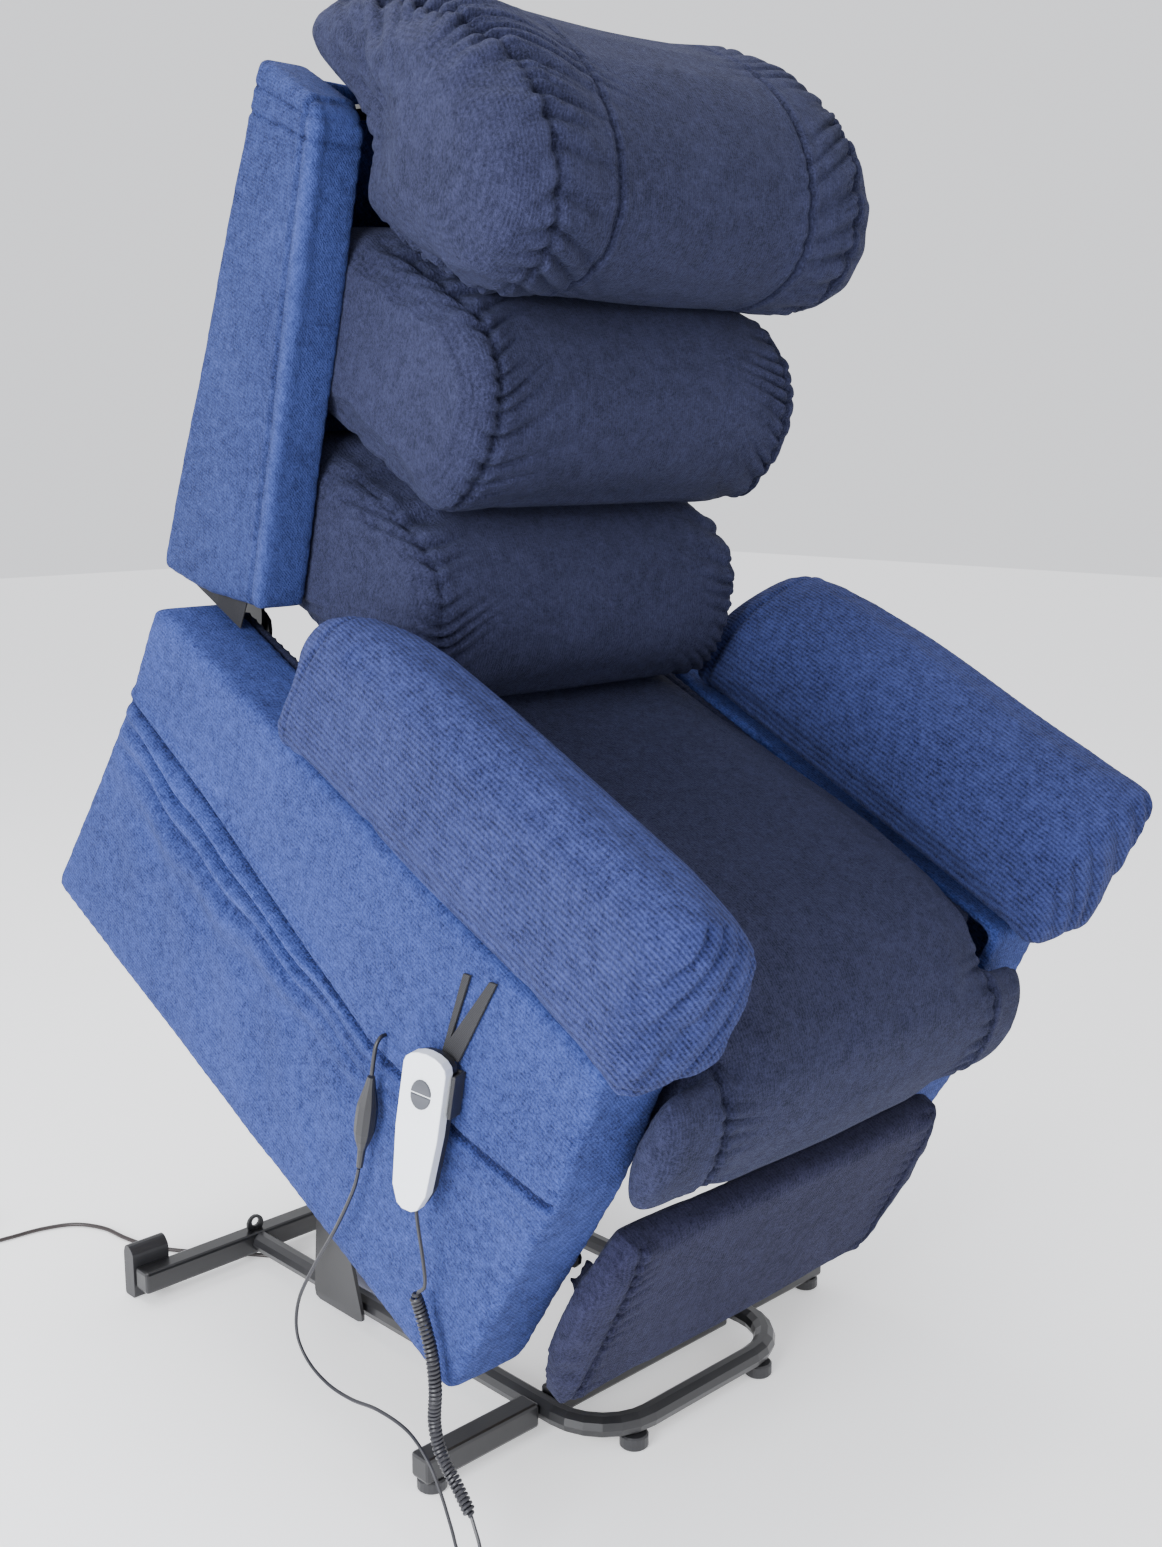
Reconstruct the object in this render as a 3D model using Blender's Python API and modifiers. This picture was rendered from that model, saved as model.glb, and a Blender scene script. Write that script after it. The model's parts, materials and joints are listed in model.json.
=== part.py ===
"""Lift recliner chair: steel base, lift linkage, tilting seat, reclining back, footrest and handset.

Metres, +Z up. The chair faces -Y, +X is the sitter's left. The rest pose is the raised one, with the
whole seat lifted and tilted forward. Base pieces are placed by (forward, height) measured from the
front cross tube and the floor. Seat pieces are placed by (u, w): u forward along the bottom edge of
the side panels, w square to it, both from the panels' rear bottom corner.
"""

import math

import bmesh
import bpy
from mathutils import Matrix, Vector

# ---------------------------------------------------------------- driving dimensions
TILT = 26.6                       # forward tilt of the raised seat, degrees
RAISED_CORNER = (-0.708, 0.561)   # panels' rear bottom corner when raised (forward, height)
LOWERED_HEIGHT = 0.035            # height of that corner when lowered
FRONT_TUBE_Y = -0.140             # Y of the front cross tube's centre
GAP = 0.0003                      # between pieces that touch
SIDE_GAP = 0.001                  # between soft pieces and panels

# base
TUBE = 0.030                      # square tube, outside
TUBE_TOP = 0.045
BASE_HALF = 0.345                 # half length of the cross tubes
BASE_DEPTH = 0.588                # front to rear cross tube
LOOP_X = 0.165                    # loop legs, centre
LOOP_RADIUS = 0.014
LOOP_REACH = 0.103                # loop's front stretch, ahead of the front cross tube
LOOP_BEND = 0.075
LOOP_FOOT_X = 0.110                # its round feet, centre
FOOT_RADIUS = 0.017
REAR_LUG_TOP = 0.072
REAR_LUG_DEPTH = 0.024

# lift linkage, base pivots and the pivots on the seat's side plates
PLATE = 0.005
LINK_PIVOT = (-0.371, 0.250)
SEAT_PIVOT = (0.650, 0.100)
CONTROL_PIVOT = (0.660, 0.040)
CONTROL_REACH = -0.280
PIN = 0.006
PIN_CLEARANCE = 0.0008
RISER_X = 0.1855
LINK_X = 0.1920
LINK_WIDTH = 0.006
LINK_HALF = 0.016
CONTROL_HALF = 0.011
TORSION_SHARE = 0.62
TORSION_RADIUS = 0.011
DRIVE_SHARE = 0.45

# actuator
ACTUATOR_FOOT = (-0.560, 0.085)
ACTUATOR_TUBE = 0.018
ACTUATOR_ROD = 0.010
ACTUATOR_TUBE_END = 0.285
EYE_RADIUS = 0.019
EYE_SLOT = 0.0125
EYE_HALF = 0.008

# seat
CHASSIS_X = 0.2100
PANEL_HALF = 0.372                # outer face of the side panels
PANEL_WALL = 0.012
INNER_WALL = 0.015
SEAT_HALF = 0.2520
ROLL_HALF = 0.3080                # half length of the cushion's front roll
ARM_TOP = 0.470
PAD_OVERHANG = 0.032
PANEL_LENGTH = 0.885
DECK_HEIGHT = 0.310
DECK_THICKNESS = 0.008

# back
BACK_HINGE = (0.070, 0.420)
BACK_LEAN = 0.0532
BACK_FOOT = 0.464
BACK_TOP = 1.050
WING_INNER = 0.2565
WING_OUTER = 0.3180
FRAME_X = 0.230
FRAME_RADIUS = 0.009

# footrest
FOOT_HINGE = (0.660, 0.270)
FOOT_CRANK = 0.235
FOOT_CRANK_ANGLE = -100.0
FOOT_PIVOT = (0.864, 0.120)
FOOT_BACK = 0.915
FOOT_FRONT = 0.952
FOOT_LOW = -0.020
FOOT_HIGH = 0.245
FOOT_HALF = 0.264                 # half width along the bottom edge
FOOT_FLARE = 0.302                # half width where the panel is widest
FOOT_LINK_X = 0.2165
FOOT_LINK_HALF = 0.012

# handset and its holder
STRAP_PIVOT = (0.738, 0.446)
HANDSET_CENTRE = (-0.3987, 0.086, 0.466)
HANDSET_YAW = 16.0
HANDSET_LEAN = 9.4
HANDSET_LENGTH = 0.170
HANDSET_WIDTH = 0.050
FACE_DEPTH = 0.014
REAR_DEPTH = 0.010
BUTTON_HALF = 0.0115
BUTTON_SPLIT = 0.0012
BUTTON_PROUD = 0.0015
BUTTON_TRAVEL = 0.0012
BUTTON_HEIGHT = 0.042

# cords
MAINS = 0.006
HAND_CORD = 0.0045
CURL = 0.0150

# power supply
SUPPLY = (0.080, 0.130, 0.072)
SUPPLY_CENTRE = (-0.103, -0.365)

CIRCLE = 16


# ---------------------------------------------------------------- places
def seat_point(x, u, w, tilt=TILT, corner=RAISED_CORNER):
    """World place of a point of the seat."""
    a = math.radians(tilt)
    forward = corner[0] + u * math.cos(a) + w * math.sin(a)
    height = corner[1] - u * math.sin(a) + w * math.cos(a)
    return Vector((x, FRONT_TUBE_Y - forward, height))


def base_point(x, forward, height):
    return Vector((x, FRONT_TUBE_Y - forward, height))


def forward_height(point):
    return (FRONT_TUBE_Y - point.y, point.z)


def polar(start, length, degrees):
    a = math.radians(degrees)
    return (start[0] + length * math.cos(a), start[1] + length * math.sin(a))


def between(a, b, share):
    return (a[0] + (b[0] - a[0]) * share, a[1] + (b[1] - a[1]) * share)


def bearing(a, b):
    return math.degrees(math.atan2(b[1] - a[1], b[0] - a[0]))


# the lift: both ends of its travel
LINK_TIP = forward_height(seat_point(0, *SEAT_PIVOT))
LINK_LENGTH = math.dist(LINK_PIVOT, LINK_TIP)
LINK_LOWERED = math.degrees(math.asin((LOWERED_HEIGHT + SEAT_PIVOT[1] - LINK_PIVOT[1]) / LINK_LENGTH))
LOWERED_TIP = polar(LINK_PIVOT, LINK_LENGTH, LINK_LOWERED)
LOWERED_CORNER = (LOWERED_TIP[0] - SEAT_PIVOT[0], LOWERED_HEIGHT)

# the control link's foot is as far from its tip when raised as when lowered
CONTROL_RAISED = forward_height(seat_point(0, *CONTROL_PIVOT))
CONTROL_LOWERED = forward_height(seat_point(0, *CONTROL_PIVOT, tilt=0.0, corner=LOWERED_CORNER))
CONTROL_FOOT = polar(between(CONTROL_RAISED, CONTROL_LOWERED, 0.5), CONTROL_REACH,
                     bearing(CONTROL_RAISED, CONTROL_LOWERED) + 90.0)

TORSION = between(LINK_PIVOT, LINK_TIP, TORSION_SHARE)
DRIVE_PIN = between(LINK_PIVOT, LINK_TIP, DRIVE_SHARE)
FOOT_ELBOW = polar(FOOT_HINGE, FOOT_CRANK, FOOT_CRANK_ANGLE)

CHASSIS_OUT = CHASSIS_X + PLATE
ARM_INNER = SEAT_HALF + 0.0015
ARM_SHELL = ARM_INNER + INNER_WALL + SIDE_GAP


# ---------------------------------------------------------------- scene and materials
def clear_scene():
    for item in list(bpy.data.objects):
        bpy.data.objects.remove(item, do_unlink=True)


def new_collection(name):
    made = bpy.data.collections.new(name)
    bpy.context.scene.collection.children.link(made)
    return made


def finish(name, colour, roughness, metallic=0.0):
    """A node's own material."""
    made = bpy.data.materials.new(name)
    made.use_nodes = True
    shader = made.node_tree.nodes["Principled BSDF"]
    shader.inputs["Base Color"].default_value = (*colour, 1.0)
    shader.inputs["Roughness"].default_value = roughness
    shader.inputs["Metallic"].default_value = metallic
    made.diffuse_color = (*colour, 1.0)
    return made


FINISHES = {
    "fabric": ((0.055, 0.085, 0.235), 0.95, 0.0),
    "black_steel": ((0.012, 0.012, 0.014), 0.32, 0.6),
    "zinc": ((0.55, 0.55, 0.56), 0.35, 0.9),
    "black_plastic": ((0.014, 0.014, 0.016), 0.45, 0.0),
    "white_plastic": ((0.80, 0.82, 0.84), 0.35, 0.0),
    "button": ((0.045, 0.050, 0.060), 0.40, 0.0),
    "lavender_plastic": ((0.60, 0.62, 0.78), 0.50, 0.0),
    "board": ((0.45, 0.33, 0.20), 0.80, 0.0),
    "cord": ((0.012, 0.012, 0.016), 0.50, 0.0),
}


def empty(name, location, parent=None, rotation=(0.0, 0.0, 0.0)):
    made = bpy.data.objects.new(name, None)
    made.location = location
    made.rotation_euler = rotation
    made.parent = parent
    made.empty_display_size = 0.03
    PARTS.objects.link(made)
    return made


def add(name, data, kind, parent, location=(0.0, 0.0, 0.0), turn=None):
    """One named object with its own material."""
    made = bpy.data.objects.new(name, data)
    made.location = location
    if turn is not None:
        made.rotation_euler = turn.to_euler()
    made.parent = parent
    data.materials.append(finish(name, *FINISHES[kind]))
    PARTS.objects.link(made)
    return made


def cutter(name, data, parent, location=(0.0, 0.0, 0.0), turn=None):
    made = bpy.data.objects.new(name, data)
    made.location = location
    if turn is not None:
        made.rotation_euler = turn.to_euler()
    made.parent = parent
    made.hide_render = True
    made.display_type = "WIRE"
    CUTTERS.objects.link(made)
    return made


def boolean(piece, tool, operation):
    step = piece.modifiers.new(tool.name, "BOOLEAN")
    step.object = tool
    step.operation = operation
    step.solver = "EXACT"


def rounded_edges(piece, width, segments=2, angle=40.0):
    step = piece.modifiers.new("round", "BEVEL")
    step.width = width
    step.segments = segments
    step.limit_method = "ANGLE"
    step.angle_limit = math.radians(angle)


def smooth(mesh, degrees=35.0):
    mesh.shade_smooth()
    mesh.set_sharp_from_angle(angle=math.radians(degrees))


# ---------------------------------------------------------------- shapes
# a flat outline lies in the chair's side plane: first number forward, second up, thickness along X
SIDE_TURN = Matrix(((0, 0, -1), (-1, 0, 0), (0, 1, 0)))


def block_mesh(name, size):
    mesh = bpy.data.meshes.new(name)
    work = bmesh.new()
    bmesh.ops.create_cube(work, size=1.0)
    bmesh.ops.scale(work, vec=size, verts=work.verts)
    work.to_mesh(mesh)
    work.free()
    return mesh


def rod_mesh(name, radius, length, axis="X", segments=CIRCLE):
    """A cylinder along one axis, centred."""
    mesh = bpy.data.meshes.new(name)
    work = bmesh.new()
    bmesh.ops.create_cone(work, cap_ends=True, segments=segments, radius1=radius, radius2=radius, depth=length)
    if axis == "X":
        bmesh.ops.rotate(work, matrix=Matrix.Rotation(math.pi / 2, 3, "Y"), verts=work.verts)
    if axis == "Y":
        bmesh.ops.rotate(work, matrix=Matrix.Rotation(math.pi / 2, 3, "X"), verts=work.verts)
    work.to_mesh(mesh)
    work.free()
    smooth(mesh)
    return mesh


def arc(centre, radius, start, end, count):
    return [polar(centre, radius, start + (end - start) * i / count) for i in range(count + 1)]


def fillet(points, radius, count=3):
    """A closed outline with its corners rounded."""
    made = []
    for i, here in enumerate(points):
        before = Vector(points[i - 1]) - Vector(here)
        after = Vector(points[(i + 1) % len(points)]) - Vector(here)
        reach = min(radius, 0.45 * before.length, 0.45 * after.length)
        start = Vector(here) + before.normalized() * reach
        end = Vector(here) + after.normalized() * reach
        for k in range(count + 1):
            t = k / count
            made.append(tuple((1 - t) ** 2 * start + 2 * t * (1 - t) * Vector(here) + t ** 2 * end))
    return made


def capsule(a, b, radius, count=6):
    """Outline of a link: straight sides and round ends."""
    along = bearing(a, b)
    return arc(a, radius, along + 90, along + 270, count) + arc(b, radius, along - 90, along + 90, count)


def outline_curve(name, loops, thickness):
    """A flat outline with holes, filled and extruded."""
    curve = bpy.data.curves.new(name, "CURVE")
    curve.dimensions = "2D"
    curve.fill_mode = "BOTH"
    curve.extrude = thickness / 2
    for loop in loops:
        spline = curve.splines.new("POLY")
        spline.points.add(len(loop) - 1)
        spline.use_cyclic_u = True
        for point, place in zip(spline.points, loop):
            point.co = (place[0], place[1], 0.0, 1.0)
    return curve


def solid_from_curve(name, curve):
    """The curve's filled solid as a mesh with welded caps."""
    holder = bpy.data.objects.new(name + "_curve", curve)
    PARTS.objects.link(holder)
    bpy.context.view_layer.update()
    graph = bpy.context.evaluated_depsgraph_get()
    mesh = bpy.data.meshes.new_from_object(holder.evaluated_get(graph))
    mesh.name = name
    bpy.data.objects.remove(holder, do_unlink=True)
    work = bmesh.new()
    work.from_mesh(mesh)
    bmesh.ops.remove_doubles(work, verts=work.verts, dist=0.00002)
    bmesh.ops.recalc_face_normals(work, faces=work.faces)
    work.to_mesh(mesh)
    work.free()
    mesh.materials.clear()
    return mesh


def outline_mesh(name, loops, thickness):
    return solid_from_curve(name, outline_curve(name, loops, thickness))


def tube_mesh(name, points, radius, resolution=2):
    """A round bar along a line of points; each point may carry its own radius as a fourth number."""
    curve = bpy.data.curves.new(name, "CURVE")
    curve.dimensions = "3D"
    curve.bevel_depth = radius
    curve.bevel_resolution = resolution
    curve.use_fill_caps = True
    spline = curve.splines.new("POLY")
    spline.points.add(len(points) - 1)
    for point, place in zip(spline.points, points):
        point.co = (place[0], place[1], place[2], 1.0)
        point.radius = place[3] / radius if len(place) > 3 else 1.0
    mesh = solid_from_curve(name, curve)
    smooth(mesh, 50.0)
    return mesh


def smooth_route(points, spacing):
    """Points read at even spacing from a smooth curve through the given ones."""
    route = [Vector(p[:3]) for p in points]
    ends = [route[0] * 2 - route[1]] + route + [route[-1] * 2 - route[-2]]
    dense = []
    for i in range(len(route) - 1):
        a, b, c, d = ends[i:i + 4]
        for k in range(24):
            t = k / 24
            dense.append(0.5 * (2 * b + (c - a) * t + (2 * a - 5 * b + 4 * c - d) * t * t
                                + (3 * b - 3 * c + d - a) * t ** 3))
    dense.append(route[-1])
    length = sum((q - p).length for p, q in zip(dense, dense[1:]))
    count = max(2, round(length / spacing))
    made = [dense[0]]
    travelled = 0.0
    step = length / count
    for p, q in zip(dense, dense[1:]):
        piece = (q - p).length
        while len(made) < count and travelled + piece >= step * len(made):
            made.append(p.lerp(q, (step * len(made) - travelled) / piece))
        travelled += piece
    made.append(dense[-1])
    return [tuple(p) for p in made]


def cushion_mesh(name, sections):
    """A closed cage lofted through sections, each a list of points in order round it."""
    mesh = bpy.data.meshes.new(name)
    work = bmesh.new()
    rings = [[work.verts.new(p) for p in section] for section in sections]
    for low, high in zip(rings, rings[1:]):
        for i in range(len(low)):
            j = (i + 1) % len(low)
            work.faces.new((low[i], low[j], high[j], high[i]))
    work.faces.new(rings[0])
    work.faces.new(rings[-1])
    bmesh.ops.recalc_face_normals(work, faces=work.faces)
    work.to_mesh(mesh)
    work.free()
    return mesh


def soften(piece, levels=1):
    step = piece.modifiers.new("soft", "SUBSURF")
    step.levels = levels
    step.render_levels = levels
    piece.data.shade_smooth()


def side_piece(name, kind, loops, x_low, x_high, parent, origin):
    """A plate in the side plane, from x_low to x_high, on a parent whose own origin is given."""
    moved = [[(p[0] - origin[0], p[1] - origin[1]) for p in loop] for loop in loops]
    mesh = outline_mesh(name, moved, x_high - x_low)
    return add(name, mesh, kind, parent, ((x_low + x_high) / 2, 0.0, 0.0), SIDE_TURN)


def side_cutter(name, loops, x_low, x_high, parent, origin):
    moved = [[(p[0] - origin[0], p[1] - origin[1]) for p in loop] for loop in loops]
    mesh = outline_mesh(name, moved, x_high - x_low)
    return cutter(name, mesh, parent, ((x_low + x_high) / 2, 0.0, 0.0), SIDE_TURN)


def add_pin(piece, name, place, x_low, x_high, parent, origin, radius=PIN):
    """A pivot pin welded to a plate."""
    x_a, x_b = min(x_low, x_high), max(x_low, x_high)
    tool = cutter(name, rod_mesh(name, radius, x_b - x_a), parent,
                  ((x_a + x_b) / 2, -(place[0] - origin[0]), place[1] - origin[1]))
    boolean(piece, tool, "UNION")


def pin_hole(place, radius=PIN + PIN_CLEARANCE):
    return arc(place, radius, 0, 360 - 360 / CIRCLE, CIRCLE - 1)


def sides(side):
    """Name ending and sign of one side."""
    return ("left", 1.0) if side > 0 else ("right", -1.0)


def span(sign, low, high):
    return (sign * low, sign * high) if sign > 0 else (sign * high, sign * low)


# ---------------------------------------------------------------- base
def build_base(root):
    origin = (0.0, 0.0)
    axes = empty("base_axes", (0.0, FRONT_TUBE_Y, 0.0), root)
    middle = TUBE_TOP - TUBE / 2
    loop_height = TUBE_TOP - LOOP_RADIUS
    leg_end = -BASE_DEPTH + TUBE / 2 + GAP
    bend = [polar((LOOP_X - LOOP_BEND, LOOP_REACH - LOOP_BEND), LOOP_BEND, a) for a in range(0, 91, 15)]
    half = [(LOOP_X, leg_end), (LOOP_X, -0.30), (LOOP_X, -0.05)] + bend
    path = [base_point(x, f, loop_height) for x, f in half]
    path += [base_point(-x, f, loop_height) for x, f in reversed(half)]
    loop = add("loop_tube", tube_mesh("loop_tube", path, LOOP_RADIUS, 3), "black_steel", root)
    loop.data.name = "loop_tube"

    stub = BASE_HALF - LOOP_X - LOOP_RADIUS - GAP
    for side in (1, -1):
        end, sign = sides(side)
        size = (stub, TUBE, TUBE)
        place = base_point(sign * (BASE_HALF - stub / 2), 0.0, middle)
        piece = add("front_cross_tube_" + end, block_mesh("front_cross_tube", size), "black_steel", root, place)
        rounded_edges(piece, 0.004)
    size = (2 * (LOOP_X - LOOP_RADIUS - GAP), TUBE, TUBE)
    piece = add("front_cross_tube_middle", block_mesh("front_cross_tube", size), "black_steel", root,
                base_point(0.0, 0.0, middle))
    rounded_edges(piece, 0.004)

    rear = add("rear_cross_tube", block_mesh("rear_cross_tube", (2 * BASE_HALF, TUBE, TUBE)), "black_steel",
               root, base_point(0.0, -BASE_DEPTH, middle))
    rounded_edges(rear, 0.004)
    lug = fillet([(-BASE_DEPTH - 0.010, TUBE_TOP - 0.006), (-BASE_DEPTH + 0.012, TUBE_TOP - 0.006),
                  (ACTUATOR_FOOT[0] + 0.013, ACTUATOR_FOOT[1] - 0.004),
                  (ACTUATOR_FOOT[0] + 0.006, ACTUATOR_FOOT[1] + 0.013),
                  (ACTUATOR_FOOT[0] - 0.014, ACTUATOR_FOOT[1] + 0.013)], 0.006, 2)
    for side in (1, -1):
        end, sign = sides(side)
        low, high = span(sign, 0.0160, 0.0210)
        boolean(rear, side_cutter("actuator_lug_" + end, [lug], low, high, axes, origin), "UNION")
    add_pin(rear, "actuator_foot_pin", ACTUATOR_FOOT, -0.0185, 0.0185, axes, origin)
    ring = bpy.data.meshes.new("cable_eye")
    work = bmesh.new()
    bmesh.ops.create_cone(work, cap_ends=True, segments=14, radius1=0.013, radius2=0.013, depth=0.004)
    bmesh.ops.rotate(work, matrix=Matrix.Rotation(math.pi / 2, 3, "X"), verts=work.verts)
    work.to_mesh(ring)
    work.free()
    eye_place = base_point(-LOOP_X, -BASE_DEPTH, TUBE_TOP + 0.008)
    boolean(rear, cutter("cable_eye", ring, root, eye_place), "UNION")
    boolean(rear, cutter("cable_eye_hole", rod_mesh("cable_eye_hole", 0.006, 0.03, "Y", 12), root,
                         eye_place + Vector((0, 0, 0.003))), "DIFFERENCE")

    for side in (1, -1):
        end, sign = sides(side)
        spots = {"loop_foot_": (sign * LOOP_FOOT_X, LOOP_REACH - 0.004, LOOP_RADIUS * 2),
                 "front_foot_": (sign * (BASE_HALF - 0.018), 0.0, TUBE)}
        for label, (x, forward, depth) in spots.items():
            height = TUBE_TOP - depth - GAP
            mesh = rod_mesh(label, FOOT_RADIUS, height, "Z", 20)
            piece = add(label + end, mesh, "black_plastic", root, base_point(x, forward, height / 2))
            rounded_edges(piece, 0.002, 1, 60.0)
        # moulded end foot: it stands on the floor behind the rear tube and rises above it
        back = -BASE_DEPTH - TUBE / 2 - GAP
        shape = fillet([(back, 0.0), (back, REAR_LUG_TOP - 0.010), (back - 0.010, REAR_LUG_TOP),
                        (back - REAR_LUG_DEPTH + 0.005, REAR_LUG_TOP),
                        (back - REAR_LUG_DEPTH, REAR_LUG_TOP - 0.010), (back - REAR_LUG_DEPTH, 0.0)], 0.004, 2)
        low, high = span(sign, BASE_HALF - 0.052, BASE_HALF + 0.002)
        piece = side_piece("rear_end_foot_" + end, "black_plastic", [shape], low, high, axes, origin)
        rounded_edges(piece, 0.002, 1)

        low, high = span(sign, RISER_X, RISER_X + PLATE)
        plate = fillet([(LINK_PIVOT[0] - 0.040, 0.020), (LINK_PIVOT[0] + 0.066, 0.020),
                        (CONTROL_FOOT[0] + 0.022, CONTROL_FOOT[1] - 0.010),
                        (LINK_PIVOT[0] + 0.022, LINK_PIVOT[1] + 0.004),
                        (LINK_PIVOT[0] + 0.014, LINK_PIVOT[1] + 0.018),
                        (LINK_PIVOT[0] - 0.014, LINK_PIVOT[1] + 0.018),
                        (LINK_PIVOT[0] - 0.022, LINK_PIVOT[1] + 0.004)], 0.012, 2)
        plate_piece = side_piece("riser_plate_" + end, "black_steel", [plate], low, high, axes, origin)
        outer = RISER_X + PLATE - 0.001
        add_pin(plate_piece, "link_pin_" + end, LINK_PIVOT, sign * outer, sign * (LINK_X + LINK_WIDTH + 0.001),
                axes, origin)
        add_pin(plate_piece, "control_pin_" + end, CONTROL_FOOT, sign * outer, sign * 0.2075, axes, origin)

    supply = add("power_supply", block_mesh("power_supply", SUPPLY), "lavender_plastic", root,
                 base_point(SUPPLY_CENTRE[0], SUPPLY_CENTRE[1], SUPPLY[2] / 2))
    rounded_edges(supply, 0.006, 3)


# ---------------------------------------------------------------- lift linkage
def build_lift(root):
    axes = empty("lift_axis", base_point(0, *LINK_PIVOT), root)
    low_x, high_x = LINK_X, LINK_X + LINK_WIDTH
    for side in (1, -1):
        end, sign = sides(side)
        low, high = span(sign, low_x, high_x)
        loops = [capsule(LINK_PIVOT, LINK_TIP, LINK_HALF), pin_hole(LINK_PIVOT), pin_hole(LINK_TIP)]
        side_piece("lift_link_" + end, "black_steel", loops, low, high, axes, LINK_PIVOT)
    length = 2 * (LINK_X - GAP)
    place = (0.0, -(TORSION[0] - LINK_PIVOT[0]), TORSION[1] - LINK_PIVOT[1])
    torsion = add("torsion_tube", rod_mesh("torsion_tube", TORSION_RADIUS, length), "black_steel", axes, place)
    ear = capsule(TORSION, DRIVE_PIN, 0.0125, 5)
    for side in (1, -1):
        end, sign = sides(side)
        low, high = span(sign, EYE_HALF + 0.0015, EYE_HALF + 0.0065)
        boolean(torsion, side_cutter("drive_ear_" + end, [ear], low, high, axes, LINK_PIVOT), "UNION")
    add_pin(torsion, "drive_pin", DRIVE_PIN, -0.012, 0.012, axes, LINK_PIVOT, 0.005)

    control = empty("control_axis", base_point(0, *CONTROL_FOOT), root)
    for side in (1, -1):
        end, sign = sides(side)
        low, high = span(sign, 0.2000, 0.2055)
        loops = [capsule(CONTROL_FOOT, CONTROL_RAISED, CONTROL_HALF), pin_hole(CONTROL_FOOT),
                 pin_hole(CONTROL_RAISED, PIN - 0.002)]
        side_piece("control_link_" + end, "black_steel", loops, low, high, control, CONTROL_FOOT)


def build_actuator(root):
    angle = bearing(ACTUATOR_FOOT, DRIVE_PIN)
    length = math.dist(ACTUATOR_FOOT, DRIVE_PIN)
    axes = empty("actuator_axis", base_point(0, *ACTUATOR_FOOT), root,
                 (math.radians(-angle), 0.0, 0.0))
    origin = (0.0, 0.0)

    def along(s, up=0.0, x=0.0):
        return (x, -s, up)

    gearbox = side_piece("actuator_gearbox", "black_plastic",
                         [fillet([(-0.012, -0.011), (0.028, -0.024), (0.089, -0.024), (0.089, 0.024),
                                  (0.028, 0.024), (-0.012, 0.011)], 0.008, 2),
                          pin_hole((0.0, 0.0))], -0.0150, 0.0150, axes, origin)
    wing = cutter("gearbox_side", block_mesh("gearbox_side", (0.070, 0.054, 0.044)), axes, along(0.061, 0, 0.040))
    boolean(gearbox, wing, "UNION")
    motor = add("actuator_motor", rod_mesh("actuator_motor", 0.024, 0.105, "Y", 20), "black_plastic", axes,
                along(0.0885 + 0.0525 + GAP, 0.0, 0.050))
    rounded_edges(motor, 0.004, 2, 60.0)
    tube_start = 0.089 + GAP
    tube_length = ACTUATOR_TUBE_END - tube_start
    tube = add("actuator_tube", rod_mesh("actuator_tube", ACTUATOR_TUBE, tube_length, "Y", 20), "zinc", axes,
               along(tube_start + tube_length / 2))
    bore = cutter("actuator_bore", rod_mesh("actuator_bore", ACTUATOR_ROD + 0.0015, tube_length + 0.01, "Y", 20),
                  axes, along(tube_start + tube_length / 2))
    boolean(tube, bore, "DIFFERENCE")

    rod_axes = empty("rod_axis", (0.0, 0.0, 0.0), axes)
    rod_start = 0.175
    rod_end = length - EYE_SLOT - 0.002
    rod = add("actuator_rod", rod_mesh("actuator_rod", ACTUATOR_ROD, rod_end - rod_start, "Y", CIRCLE), "zinc",
              rod_axes, along((rod_start + rod_end) / 2))
    eye = side_cutter("rod_eye", [arc((length, 0.0), EYE_RADIUS, 0, 345, 23)],
                      -EYE_HALF, EYE_HALF, rod_axes, origin)
    slot = side_cutter("rod_slot", [arc((length, 0.0), EYE_SLOT, 0, 345, 23)],
                       -0.02, 0.02, rod_axes, origin)
    boolean(rod, eye, "UNION")
    boolean(rod, slot, "DIFFERENCE")


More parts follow.
